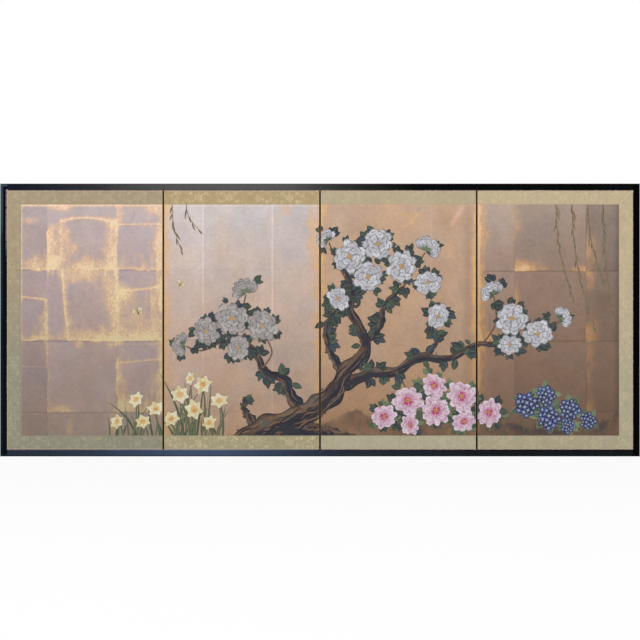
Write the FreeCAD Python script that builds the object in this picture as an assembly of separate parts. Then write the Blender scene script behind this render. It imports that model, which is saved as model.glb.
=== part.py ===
"""Four-panel folding screen: papered lattice boards in a lacquered frame, joined by paper hinges.

Millimetres. X runs along the opened screen, the painted front faces -Y and Z is up.
The origin is on the floor, under the middle of the screen.
"""
import FreeCAD
import Part
import os

vec = FreeCAD.Vector

# Whole screen
panel_count = 4
screen_height = 610.0
board_width = 348.0
board_thickness = 15.0
board_gap = 2.4
rail_gap = 0.6

# Lacquered frame: a chamfered bar along the top and bottom of each board and down both ends
frame_face = 15.6
frame_proud = 1.5
frame_outer_chamfer = 1.8
frame_inner_chamfer_face = 2.4
frame_inner_chamfer_depth = 0.9
frame_tongue_thickness = 5.0
frame_tongue_margin = 3.5
frame_tongue_clearance = 0.1

# Papers glued over the core, and the brocade border glued over the painting's margins
underpaper_thickness = 0.6
skin_thickness = 0.4
painting_turned_margin = 0.8
brocade_width = 31.0
brocade_thickness = 0.5

# Paper hinges: strips that pass through the crack, turn about, from one board's front to the other's back
strips_per_joint = 6
strip_slit = 1.2
strip_end_gap = 0.6
flap_width = 25.0
flap_thickness = 0.3
web_thickness = 0.5
web_clearance = 0.3

# Core: two stiles and two rails round a lattice of halved laths
core_stile_width = 16.0
core_rail_height = 18.0
lath_width = 9.0
upright_count = 2
bar_count = 5
tenon_length = 8.0
tenon_shoulder = 1.5
tenon_thickness = 4.3
tenon_clearance = 0.1
lap_clearance = 0.1

# Double-pointed square nails that hold the frame to the core
nail_length = 22.0
nail_waist = 2.2
nail_point = 0.6
nail_clearance = 0.05

# How far a cutting solid runs past what it cuts
overrun = 5.0

frame_depth = board_thickness + 2 * frame_proud
board_height = screen_height - 2 * frame_face
board_bottom = frame_face
board_top = screen_height - frame_face
board_front = -board_thickness / 2
screen_width = panel_count * board_width + (panel_count - 1) * board_gap + 2 * frame_face
core_thickness = board_thickness - 2 * (skin_thickness + underpaper_thickness)
edge_round = skin_thickness + underpaper_thickness
strip_height = (board_height - 2 * strip_end_gap - (strips_per_joint - 1) * strip_slit) / strips_per_joint


def block(x, y, z):
    """A box between two places along each axis."""
    size = vec(x[1] - x[0], y[1] - y[0], z[1] - z[0])
    return Part.makeBox(size.x, size.y, size.z, vec(x[0], y[0], z[0]))


def prism(points, run):
    """A flat outline pushed along one direction."""
    return Part.Face(Part.makePolygon(points + points[:1])).extrude(run)


def export(name, shapes):
    """Writes one node. A group of like pieces is a compound of separate solids."""
    shape = shapes[0] if len(shapes) == 1 else Part.makeCompound(shapes)
    shape.exportStep(f"parts/{name}.step")
    print(name, "solids", len(shape.Solids), "valid", shape.isValid())


def board_span(panel, inset=0):
    """Left and right ends of a board, drawn in by the inset where the next board stands."""
    left = -screen_width / 2 + frame_face + panel * (board_width + board_gap)
    right = left + board_width
    return left + inset * (panel > 0), right - inset * (panel < panel_count - 1)


def joint_place(joint):
    return board_span(joint)[1] + board_gap / 2


def board_envelope(panel, inset):
    """The board as a block, with its long edges rounded where the next board stands."""
    left, right = board_span(panel, inset)
    depth = board_thickness / 2 - inset
    shape = block((left, right), (-depth, depth), (board_bottom, board_top))
    ends = [end for end, meets in ((left, panel > 0), (right, panel < panel_count - 1)) if meets]
    upright = [edge for edge in shape.Edges if edge.BoundBox.ZLength > board_height / 2]
    near = edge_round
    rounded = [edge for edge in upright if any(abs(edge.BoundBox.XMin - end) < near for end in ends)]
    return shape.makeFillet(edge_round - inset, rounded)


def strip_span(strip):
    bottom = board_bottom + strip_end_gap + strip * (strip_height + strip_slit)
    return bottom, bottom + strip_height


def core_bays(panel):
    """The room inside the core's stiles and rails."""
    left, right = board_span(panel, skin_thickness)
    across = (left + core_stile_width, right - core_stile_width)
    up = (board_bottom + core_rail_height, board_top - core_rail_height)
    return across, up


def spaced(span, count):
    """Evenly spaced places inside a span, none at its ends."""
    return [span[0] + (span[1] - span[0]) * (k + 1) / (count + 1) for k in range(count)]


def bay_middles(span, count):
    stops = [span[0]] + spaced(span, count) + [span[1]]
    return [(a + b) / 2 for a, b in zip(stops, stops[1:])]


def around(place, width):
    return place - width / 2, place + width / 2


def tenon(x, z, clearance):
    """A stub tenon, or with a clearance the mortise for it, over the given spans."""
    grown = around(0, tenon_thickness + 2 * clearance)
    return block((x[0] - clearance, x[1] + clearance), grown, (z[0] - clearance, z[1] + clearance))


def bar_tenons(panel, middle, height, clearance):
    """Both end tenons of a piece that lies across between the stiles."""
    across, _ = core_bays(panel)
    z = around(middle, height - 2 * tenon_shoulder)
    ends = ((across[0] - tenon_length, across[0]), (across[1], across[1] + tenon_length))
    return [tenon(x, z, clearance) for x in ends]


def upright_tenons(panel, middle, clearance):
    _, up = core_bays(panel)
    x = around(middle, lath_width - 2 * tenon_shoulder)
    ends = ((up[0] - tenon_length, up[0]), (up[1], up[1] + tenon_length))
    return [tenon(x, z, clearance) for z in ends]


def rail_middles():
    return board_bottom + core_rail_height / 2, board_top - core_rail_height / 2


def nail(middle, along, clearance):
    """A square double-pointed nail lying along X or Z, or with a clearance the hole for it."""
    side = vec(along.z, 0, along.x)
    rings = []
    for end, width in ((-1, nail_point), (0, nail_waist), (1, nail_point)):
        centre = middle + along * end * (nail_length / 2 + clearance)
        half = width / 2 + clearance
        square = ((-1, -1), (1, -1), (1, 1), (-1, 1))
        corners = [centre + side * a * half + vec(0, b * half, 0) for a, b in square]
        rings.append(Part.makePolygon(corners + corners[:1]))
    return Part.makeLoft(rings, True, True)


def nail_places(panel):
    """Middle and direction of each nail: one in each bay of the lattice, along each frame bar."""
    across, up = core_bays(panel)
    places = []
    for x in bay_middles(across, upright_count):
        places += [(vec(x, 0, board_bottom), vec(0, 0, 1)), (vec(x, 0, board_top), vec(0, 0, 1))]
    ends = [board_span(panel)[0]] * (panel == 0) + [board_span(panel)[1]] * (panel == panel_count - 1)
    for x in ends:
        places += [(vec(x, 0, z), vec(1, 0, 0)) for z in bay_middles(up, bar_count)]
    return places


def nails(panel, clearance=0):
    return [nail(middle, along, clearance) for middle, along in nail_places(panel)]


def core_stiles(panel):
    left, right = board_span(panel, skin_thickness)
    across, up = core_bays(panel)
    depth = around(0, core_thickness)
    mortises = []
    for z in spaced(up, bar_count):
        mortises += bar_tenons(panel, z, lath_width, tenon_clearance)
    for z in rail_middles():
        mortises += bar_tenons(panel, z, core_rail_height, tenon_clearance)
    stiles = [block(x, depth, (board_bottom, board_top)) for x in ((left, across[0]), (across[1], right))]
    return [stile.cut(mortises + nails(panel, nail_clearance)) for stile in stiles]


def core_rails(panel):
    across, up = core_bays(panel)
    depth = around(0, core_thickness)
    mortises = []
    for x in spaced(across, upright_count):
        mortises += upright_tenons(panel, x, tenon_clearance)
    rails = []
    for middle in rail_middles():
        rail = block(across, depth, around(middle, core_rail_height))
        rail = rail.fuse(bar_tenons(panel, middle, core_rail_height, 0)).removeSplitter()
        rails.append(rail.cut(mortises + nails(panel, nail_clearance)))
    return rails


def lattice_uprights(panel):
    """Upright laths, halved from behind where the bars cross."""
    across, up = core_bays(panel)
    uprights = []
    for x in spaced(across, upright_count):
        lath = block(around(x, lath_width), around(0, core_thickness), up)
        lath = lath.fuse(upright_tenons(panel, x, 0)).removeSplitter()
        behind = (-lap_clearance / 2, core_thickness)
        notches = [
            block(around(x, lath_width + overrun), behind, around(z, lath_width + 2 * lap_clearance))
            for z in spaced(up, bar_count)
        ]
        uprights.append(lath.cut(notches))
    return uprights


def lattice_bars(panel):
    """Laths that lie across, halved from the front where the uprights cross."""
    across, up = core_bays(panel)
    bars = []
    for z in spaced(up, bar_count):
        lath = block(across, around(0, core_thickness), around(z, lath_width))
        lath = lath.fuse(bar_tenons(panel, z, lath_width, 0)).removeSplitter()
        in_front = (-core_thickness, lap_clearance / 2)
        notches = [
            block(around(x, lath_width + 2 * lap_clearance), in_front, around(z, lath_width + overrun))
            for x in spaced(across, upright_count)
        ]
        bars.append(lath.cut(notches))
    return bars


def hinge_flaps(panel):
    """The glued ends of the hinge strips, each flush in a pocket of the under paper."""
    left, right = board_span(panel, skin_thickness)
    face = board_thickness / 2 - skin_thickness
    front, back = (-face, flap_thickness - face), (face - flap_thickness, face)
    inner_envelope = board_envelope(panel, skin_thickness)
    flaps = []
    for strip in range(strips_per_joint):
        leads = strip % 2 == 0
        if panel < panel_count - 1:
            flaps.append(block((right - flap_width, right), front if leads else back, strip_span(strip)))
        if panel > 0:
            flaps.append(block((left, left + flap_width), back if leads else front, strip_span(strip)))
    return [inner_envelope.common(flap) for flap in flaps]


def underpaper(panel, facing):
    """One face's layers of under paper, with pockets for the hinge flaps. Facing is -1 in front."""
    outer = facing * (board_thickness / 2 - skin_thickness)
    inner = facing * core_thickness / 2
    sheet = block(board_span(panel), sorted((inner, outer)), (board_bottom, board_top))
    return [board_envelope(panel, skin_thickness).common(sheet).cut(hinge_flaps(panel))]


def skin(panel, depth):
    """The outermost sheet of the board between two depths."""
    shell = board_envelope(panel, 0).cut(board_envelope(panel, skin_thickness))
    return [shell.common(block(board_span(panel), depth, (board_bottom, board_top)))]


def painting_turn():
    return board_front + edge_round + painting_turned_margin


def painting(panel):
    """The leafed painting sheet, its edges turned round the board's rounded edges."""
    return skin(panel, (board_front, painting_turn()))


def back_paper(panel):
    """The back's patterned paper, brought round the board's edges to the painting."""
    return skin(panel, (painting_turn(), -board_front))


def brocade_border(panel):
    """Brocade along the top and bottom, and down the outer end, mitred where two strips meet."""
    left, right = board_span(panel, edge_round)
    depth = vec(0, brocade_thickness, 0)
    y = board_front - brocade_thickness
    width = brocade_width
    left_end, right_end = panel == 0, panel == panel_count - 1
    low_left, low_right = left + width * left_end, right - width * right_end
    low, high = board_bottom + width, board_top - width
    outlines = [
        [(left, board_top), (right, board_top), (low_right, high), (low_left, high)],
        [(left, board_bottom), (right, board_bottom), (low_right, low), (low_left, low)],
    ]
    for meets_frame, outer, inner in ((left_end, left, low_left), (right_end, right, low_right)):
        if meets_frame:
            outlines.append([(outer, board_bottom), (outer, board_top), (inner, high), (inner, low)])
    return [prism([vec(x, y, z) for x, z in outline], depth) for outline in outlines]


def frame_bar(corner, outward, run):
    """A length of the frame's chamfered section, from a point on its inner face's middle."""
    half = frame_depth / 2
    section = [
        (frame_inner_chamfer_depth - half, 0),
        (-half, frame_inner_chamfer_face),
        (-half, frame_face - frame_outer_chamfer),
        (frame_outer_chamfer - half, frame_face),
    ]
    section += [(-y, out) for y, out in reversed(section)]
    return prism([corner + vec(0, y, 0) + outward * out for y, out in section], run)


def frame_corner(panel, top, clearance=0):
    """The tongue that a rail's mitred end sends into the end stile, or the slot for it."""
    side = -1 if panel == 0 else 1
    rise = 1 if top else -1
    inner = vec(side * (screen_width / 2 - frame_face), 0, board_top if top else board_bottom)
    reach = frame_face - frame_tongue_margin + clearance
    half = frame_tongue_thickness / 2 + clearance
    start = inner + vec(0, -half, -rise * clearance)
    foot = start + vec(side * reach, 0, 0)
    outline = [start, foot, foot + vec(0, 0, rise * (reach + clearance))]
    if clearance:
        outline.append(start + vec(0, 0, rise * (reach + clearance)))
    return prism(outline, vec(0, 2 * half, 0))


def frame_rail(panel, top):
    """A top or bottom rail, mitred at the screen's outer end."""
    left, right = board_span(panel)
    overhang = (board_gap - rail_gap) / 2
    inner_z, outer_z = (board_top, screen_height) if top else (board_bottom, 0)
    rise = vec(0, 0, 1 if top else -1)
    left_end, right_end = panel == 0, panel == panel_count - 1
    outer_left = left - (frame_face if left_end else overhang)
    outer_right = right + (frame_face if right_end else overhang)
    inner_left = left - (0 if left_end else overhang)
    inner_right = right + (0 if right_end else overhang)
    bar = frame_bar(vec(outer_left, 0, inner_z), rise, vec(outer_right - outer_left, 0, 0))
    plan = [(outer_left, outer_z), (outer_right, outer_z), (inner_right, inner_z), (inner_left, inner_z)]
    rail = bar.common(prism([vec(x, -frame_depth, z) for x, z in plan], vec(0, 2 * frame_depth, 0)))
    if left_end or right_end:
        rail = rail.fuse(frame_corner(panel, top)).removeSplitter()
    return [rail.cut(nails(panel, nail_clearance))]


def frame_side_stile(panel):
    """The upright at the screen's outer end, mitred and slotted for both rails' tongues."""
    side = -1 if panel == 0 else 1
    inner_x = side * (screen_width / 2 - frame_face)
    outer_x = side * screen_width / 2
    bar = frame_bar(vec(inner_x, 0, 0), vec(side, 0, 0), vec(0, 0, screen_height))
    plan = [(outer_x, 0), (outer_x, screen_height), (inner_x, board_top), (inner_x, board_bottom)]
    stile = bar.common(prism([vec(x, -frame_depth, z) for x, z in plan], vec(0, 2 * frame_depth, 0)))
    slots = [frame_corner(panel, top, frame_tongue_clearance) for top in (True, False)]
    return [stile.cut(slots + nails(panel, nail_clearance))]


def hinge_webs(joint, leads):
    """The strips' free middles: thin plates that slant through the crack from one board to the other."""
    middle = joint_place(joint)
    reach = board_gap / 2 - web_clearance
    depth = board_thickness / 2 - edge_round
    lean = 1 if leads else -1
    section = [
        (-lean * reach, -depth),
        (-lean * (reach - web_thickness), -depth),
        (lean * reach, depth),
        (lean * (reach - web_thickness), depth),
    ]
    webs = []
    for strip in range(0 if leads else 1, strips_per_joint, 2):
        bottom, top = strip_span(strip)
        webs.append(prism([vec(middle + x, y, bottom) for x, y in section], vec(0, 0, top - bottom)))
    return webs


os.makedirs("parts", exist_ok=True)
for panel in range(panel_count):
    name = f"panel_{panel + 1}"
    export(f"{name}_core_stiles", core_stiles(panel))
    export(f"{name}_core_rails", core_rails(panel))
    export(f"{name}_lattice_uprights", lattice_uprights(panel))
    export(f"{name}_lattice_bars", lattice_bars(panel))
    export(f"{name}_hinge_flaps", hinge_flaps(panel))
    export(f"{name}_front_underpaper", underpaper(panel, -1))
    export(f"{name}_back_underpaper", underpaper(panel, 1))
    export(f"{name}_painting", painting(panel))
    export(f"{name}_back_paper", back_paper(panel))
    export(f"{name}_brocade_border", brocade_border(panel))
    export(f"{name}_frame_top_rail", frame_rail(panel, True))
    export(f"{name}_frame_bottom_rail", frame_rail(panel, False))
    export(f"{name}_frame_nails", nails(panel))
    if panel in (0, panel_count - 1):
        export(f"{name}_frame_side_stile", frame_side_stile(panel))
for joint in range(panel_count - 1):
    export(f"joint_{joint + 1}_hinge_webs_a", hinge_webs(joint, True))
    export(f"joint_{joint + 1}_hinge_webs_b", hinge_webs(joint, False))
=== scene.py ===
import math
import random

import bmesh
import bpy
import numpy as np
from mathutils import Matrix, Vector


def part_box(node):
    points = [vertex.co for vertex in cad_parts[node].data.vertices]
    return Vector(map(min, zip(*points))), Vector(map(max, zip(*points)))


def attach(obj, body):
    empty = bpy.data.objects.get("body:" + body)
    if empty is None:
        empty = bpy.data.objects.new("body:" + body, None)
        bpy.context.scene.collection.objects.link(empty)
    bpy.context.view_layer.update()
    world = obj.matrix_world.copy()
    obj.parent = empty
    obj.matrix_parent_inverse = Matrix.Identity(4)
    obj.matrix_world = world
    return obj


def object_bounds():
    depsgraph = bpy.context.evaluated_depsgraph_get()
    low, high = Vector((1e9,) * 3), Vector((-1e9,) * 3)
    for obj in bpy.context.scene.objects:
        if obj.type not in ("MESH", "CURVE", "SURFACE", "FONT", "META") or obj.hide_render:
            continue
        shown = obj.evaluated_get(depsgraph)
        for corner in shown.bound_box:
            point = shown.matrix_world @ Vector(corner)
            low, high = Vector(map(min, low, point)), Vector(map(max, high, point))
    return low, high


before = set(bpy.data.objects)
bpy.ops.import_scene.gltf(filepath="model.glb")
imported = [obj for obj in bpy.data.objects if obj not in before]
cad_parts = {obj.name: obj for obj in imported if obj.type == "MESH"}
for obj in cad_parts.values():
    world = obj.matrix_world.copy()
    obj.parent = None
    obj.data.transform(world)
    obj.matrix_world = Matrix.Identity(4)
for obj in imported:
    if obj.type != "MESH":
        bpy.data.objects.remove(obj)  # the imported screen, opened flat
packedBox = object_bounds()

mm = 0.001
panelNames = ["panel_1", "panel_2", "panel_3", "panel_4"]

# The photograph is 640 pixels wide, and the screen fills its width.
photo = {
    "width": 640,
    "middleAcross": 320.0,
    "floorLine": 455.9,
    "lens": 100,
    "sensor": 36,
}
screenWidth = packedBox[1].x - packedBox[0].x
screenHeight = packedBox[1].z - packedBox[0].z
middle = (0.0, 0.0, screenHeight / 2)
pixel = screenWidth / photo["width"]


def across(column):
    # metres along the screen of a column of the photograph
    return (column - photo["middleAcross"]) * pixel


def above(row):
    # metres above the floor of a row of the photograph
    return (photo["floorLine"] - row) * pixel


def lightOf(colours):
    # screen values from 0 to 255, as light values
    share = np.asarray(colours, float) / 255
    return np.where(share <= 0.04045, share / 12.92, ((share + 0.055) / 1.055) ** 2.4)


def mathStep(operation, turned=False):
    # a method that adds one Math node to a value
    def step(self, *others):
        parts = (*others, self) if turned else (self, *others)
        return self.finish.add("Math", {"operation": operation}, dict(enumerate(parts)))

    return step


class Flow:
    # a value on its way through a material: a sum on it adds a Math node
    def __init__(self, finish, socket):
        self.finish = finish
        self.socket = socket

    __add__ = mathStep("ADD")
    __radd__ = mathStep("ADD", True)
    __sub__ = mathStep("SUBTRACT")
    __rsub__ = mathStep("SUBTRACT", True)
    __mul__ = mathStep("MULTIPLY")
    __rmul__ = mathStep("MULTIPLY", True)
    __truediv__ = mathStep("DIVIDE")
    __abs__ = mathStep("ABSOLUTE")
    most = mathStep("MAXIMUM")
    least = mathStep("MINIMUM")
    greater = mathStep("GREATER_THAN")
    root = mathStep("SQRT")
    sine = mathStep("SINE")
    cosine = mathStep("COSINE")
    arcTangent = mathStep("ARCTAN2")
    toAndFro = mathStep("PINGPONG")
    fraction = mathStep("FRACT")

    def rise(self, start, end):
        # 0 below start and 1 above end, with a soft step between
        settings = {"interpolation_type": "SMOOTHSTEP"}
        return self.finish.add("MapRange", settings, {"Value": self, "From Min": start, "From Max": end})


class Finish:
    # one procedural material, or the world's, made with the shader nodes that its methods add
    def __init__(self, name, world=None):
        self.material = world or bpy.data.materials.new(name)
        self.material.use_nodes = True
        self.tree = self.material.node_tree
        self.shader = self.tree.nodes["Background" if world else "Principled BSDF"]
        self.place = self.add("TexCoord", {}, {}, "Generated" if world else "Object")

    def add(self, kind, settings, inputs, output=0):
        node = self.tree.nodes.new("ShaderNode" + kind)
        for key, value in settings.items():
            setattr(node, key, value)
        for key, value in inputs.items():
            self.feed(node.inputs[key], value)
        return Flow(self, node.outputs[output])

    def feed(self, socket, value):
        # a colour comes as screen values from 0 to 255
        if isinstance(value, Flow):
            self.tree.links.new(value.socket, socket)
        elif socket.type == "RGBA":
            socket.default_value = (*lightOf(value), 1.0)
        else:
            socket.default_value = value

    def split(self, whole):
        node = self.tree.nodes.new("ShaderNodeSeparateXYZ")
        self.feed(node.inputs[0], whole)
        return [Flow(self, socket) for socket in node.outputs]

    def sides(self):
        # the place on the object in millimetres, as three values
        return self.split(self.add("VectorMath", {"operation": "SCALE"}, {0: self.place, "Scale": 1 / mm}))

    def strokeSides(self):
        # across and along a stroke of paint, each from 0 to 1
        return self.split(self.add("TexCoord", {}, {}, "UV"))[:2]

    def attribute(self, name, output="Color"):
        return self.add("Attribute", {"attribute_name": name}, {}, output)

    def noise(self, sizes, detail=2.0, start=None, seed=0.0):
        # mottling; its spots have these sizes along the axes, in millimetres or thousandths of a stroke
        scale = [1 / (size * mm) for size in sizes]
        grown = self.add("VectorMath", {"operation": "MULTIPLY"}, {0: start or self.place, 1: scale})
        moved = self.add("VectorMath", {"operation": "ADD"}, {0: grown, 1: (seed, seed, seed)})
        return self.add("TexNoise", {}, {"Vector": moved, "Scale": 1.0, "Detail": detail})

    def mix(self, share, first, second):
        return self.add("Mix", {"data_type": "RGBA"}, {0: share, 6: first, 7: second}, 2)

    def shade(self, colour, factor):
        return self.add("VectorMath", {"operation": "SCALE"}, {0: colour, "Scale": factor})

    def bump(self, height, depth, strength=1.0):
        return self.add("Bump", {}, {"Height": height, "Distance": depth * mm, "Strength": strength})

    def seenStraight(self):
        # 1 for what the camera sees by itself, in a gloss or through glass
        camera, glossy, through = (self.ray(kind) for kind in ("Camera", "Glossy", "Transmission"))
        return camera.most(glossy).most(through)

    def ray(self, kind):
        return self.add("LightPath", {}, {}, f"Is {kind} Ray")

    def done(self, **values):
        names = {
            "colour": "Base Color",
            "roughness": "Roughness",
            "metallic": "Metallic",
            "normal": "Normal",
            "coat": "Coat Weight",
            "coatRoughness": "Coat Roughness",
            "sheen": "Sheen Weight",
            "sheenRoughness": "Sheen Roughness",
            "specular": "Specular IOR Level",
        }
        for key, value in values.items():
            self.feed(self.shader.inputs[names[key]], value)
        return self.material


def newObject(name, bm, material):
    mesh = bpy.data.meshes.new(name)
    bm.to_mesh(mesh)
    bm.free()
    mesh.materials.append(material)
    made = bpy.data.objects.new(name, mesh)
    bpy.context.scene.collection.objects.link(made)
    return made


def newPiece(name, bm, material, body):
    piece = newObject(name, bm, material)
    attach(piece, body)
    return piece


print("stage 1: frame loaded,", len(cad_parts), "nodes")

# Camera, lights, floor and background

studio = {
    "white": (255, 255, 255),
    "floorSize": 14.0,
    "floorColour": (247, 247, 247),
    "floorGlow": 0.88,
    "skyLight": 0.60,
    "roomGlow": 0.14,  # what a gloss shows of the room in front of the screen
    "roomEdge": (-0.8, -0.3),
}
# Each lamp: its place, the sides of its area, its power and what it aims at.
lamps = {
    "keyLight": ((-1.9, -3.3, 2.1), (1.5, 1.5), 38.0, middle),
    "fillLight": ((2.2, -3.0, 1.5), (2.0, 2.0), 22.0, middle),
    "backLight": ((0.8, 3.2, 2.2), (2.0, 2.0), 34.0, middle),
    "window": ((-0.45, -3.4, 0.9), (0.8, 0.5), 2.4, (-0.3, 0.0, screenHeight)),
}


def makeLamp(name, place, sizes, power, target):
    light = bpy.data.lights.new(name, "AREA")
    light.shape = "RECTANGLE"
    light.size, light.size_y = sizes
    light.energy = power
    lamp = bpy.data.objects.new(name, light)
    bpy.context.scene.collection.objects.link(lamp)
    lamp.location = place
    lamp.rotation_euler = (Vector(target) - lamp.location).to_track_quat("-Z", "Y").to_euler()


def makeWorld():
    world = bpy.data.worlds.new("paleSky")
    sky = Finish("", world)
    front = sky.split(sky.place)[1].rise(*studio["roomEdge"])
    room = front * (1 - studio["roomGlow"]) + studio["roomGlow"]
    seen = sky.ray("Camera").most(room)
    strength = sky.seenStraight() * (seen - studio["skyLight"]) + studio["skyLight"]
    sky.feed(sky.shader.inputs["Strength"], strength)
    sky.feed(sky.shader.inputs["Color"], studio["white"])
    bpy.context.scene.world = world


def makeFloor():
    bm = bmesh.new()
    bmesh.ops.create_grid(bm, x_segments=1, y_segments=1, size=studio["floorSize"] / 2)
    pale = Finish("whiteFloor")
    pale.done(colour=studio["floorColour"], roughness=0.9, specular=0.0)
    surface = Flow(pale, pale.shader.outputs[0])
    glow = pale.add("Emission", {}, {"Color": studio["white"]})
    both = pale.add("MixShader", {}, {0: pale.seenStraight() * studio["floorGlow"], 1: surface, 2: glow})
    pale.feed(pale.tree.nodes["Material Output"].inputs[0], both)
    floor = newObject("floor", bm, pale.material)


def makeCamera():
    lens = bpy.data.cameras.new("photographsView")
    lens.lens = photo["lens"]
    lens.sensor_width = photo["sensor"]
    lens.sensor_fit = "HORIZONTAL"
    camera = bpy.data.objects.new("photographsView", lens)
    bpy.context.scene.collection.objects.link(camera)
    distance = screenWidth * photo["lens"] / photo["sensor"]
    camera.location = (0.0, packedBox[0].y - distance, screenHeight / 2)
    camera.rotation_euler = (math.pi / 2, 0.0, 0.0)
    bpy.context.scene.camera = camera


bpy.context.scene.view_settings.view_transform = "Standard"
makeWorld()
makeFloor()
makeCamera()
for name, values in lamps.items():
    makeLamp(name, *values)
print("stage 2: camera, lights and floor")

# Places on the screen, in metres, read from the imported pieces

sheetInset = 1.3 * mm  # where the painting starts to turn round the board's edge
boards = {}
for panel in panelNames:
    low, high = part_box(panel + "_painting")
    strips = [vert.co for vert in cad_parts[panel + "_brocade_border"].data.vertices]
    columns = sorted({round(place.x, 5) for place in strips})
    boards[panel] = {
        "left": columns[1] if panel == "panel_1" else low.x + sheetInset,
        "right": columns[-2] if panel == "panel_4" else high.x - sheetInset,
        "front": low.y,
        "low": max(place.z for place in strips if place.z < middle[2]),
        "high": min(place.z for place in strips if place.z > middle[2]),
    }
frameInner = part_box("panel_1_frame_top_rail")[0].z  # lower edge of the top rail
railHeight = screenHeight - frameInner
brocadeWidth = frameInner - boards["panel_1"]["high"]
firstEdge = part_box("panel_2_painting")[0].x
crackPitch = (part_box("panel_3_painting")[0].x - firstEdge) / mm  # crack to crack, in millimetres

# Hinge paper at the cracks: a lip at each board's edge, and a tab where two strips meet

# Dark as the hinge paper, they fill the gaps in the crack as painted shade.
crack = {
    "lip": 0.55 * mm,
    "paper": 0.1 * mm,
    "play": 0.06 * mm,
}


def addBox(bm, low, high):
    made = bmesh.ops.create_cube(bm, size=1)["verts"]
    bmesh.ops.scale(bm, vec=[high[i] - low[i] for i in range(3)], verts=made)
    bmesh.ops.translate(bm, vec=[(high[i] + low[i]) / 2 for i in range(3)], verts=made)


def makeCrackPapers(number, material):
    # what one panel holds of the hinge papers, at its left and its right edge
    panel = panelNames[number]
    last = len(panelNames) - 1
    low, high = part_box(panel + "_painting")
    webLow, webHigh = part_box("joint_1_hinge_webs_a")
    play = crack["play"]
    paper = crack["paper"]
    bm = bmesh.new()
    for depth in (webLow.y - play - paper, webHigh.y + play):
        if number > 0:
            addBox(bm, (low.x - crack["lip"], depth, low.z), (low.x + play, depth + paper, high.z))
        if number < last:
            addBox(bm, (high.x - play, depth, low.z), (high.x + crack["lip"], depth + paper, high.z))
    if number < last:
        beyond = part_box(panelNames[number + 1] + "_painting")[0].x - play
        strips = set()
        for letter in "ab":
            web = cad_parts[f"joint_{number + 1}_hinge_webs_{letter}"]
            strips |= {round(vert.co.z, 5) for vert in web.data.vertices}
        ends = [low.z - play, *sorted(strips), high.z + play]
        for bottom, top in zip(ends[::2], ends[1::2]):
            addBox(bm, (high.x - play, -paper / 2, bottom + play), (beyond, paper / 2, top - play))
        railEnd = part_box(panel + "_frame_top_rail")[1].x
        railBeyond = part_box(panelNames[number + 1] + "_frame_top_rail")[0].x - play / 2
        for bottom, top in ((play, low.z - play), (high.z + play, screenHeight - play)):
            addBox(bm, (railEnd - play, -paper / 2, bottom), (railBeyond, paper / 2, top))
    newPiece(panel + "_crack_papers", bm, material, panel)


# both mix the leaf's own tarnish with painted reflection, lighter at the top and different on each panel
# The ground of leaf squares. Places are columns and rows of the photograph, and the sheet shows from row
# 204 to row 436. Every panel has these:
# grain, how rough the edge of the gold is, and rim, the tint of that edge
# tones of the aged leaf at the four rows of leafSheet, and colours of the gold at its three
# the seams of the squares, across and up, and how light each square of cells is
# glows, rubbed gold beside a line: start, end, side, reach and strength, with side 1 below a line drawn
# rightwards or left of one drawn downwards, -1 opposite and 0 on both sides
# patches, gold in an oval, kept to its own square, and stains, a lighter or darker oval: centre, half sizes
# and strength
# creases, thin lighter or darker lines: start, end, half width and strength

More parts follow.
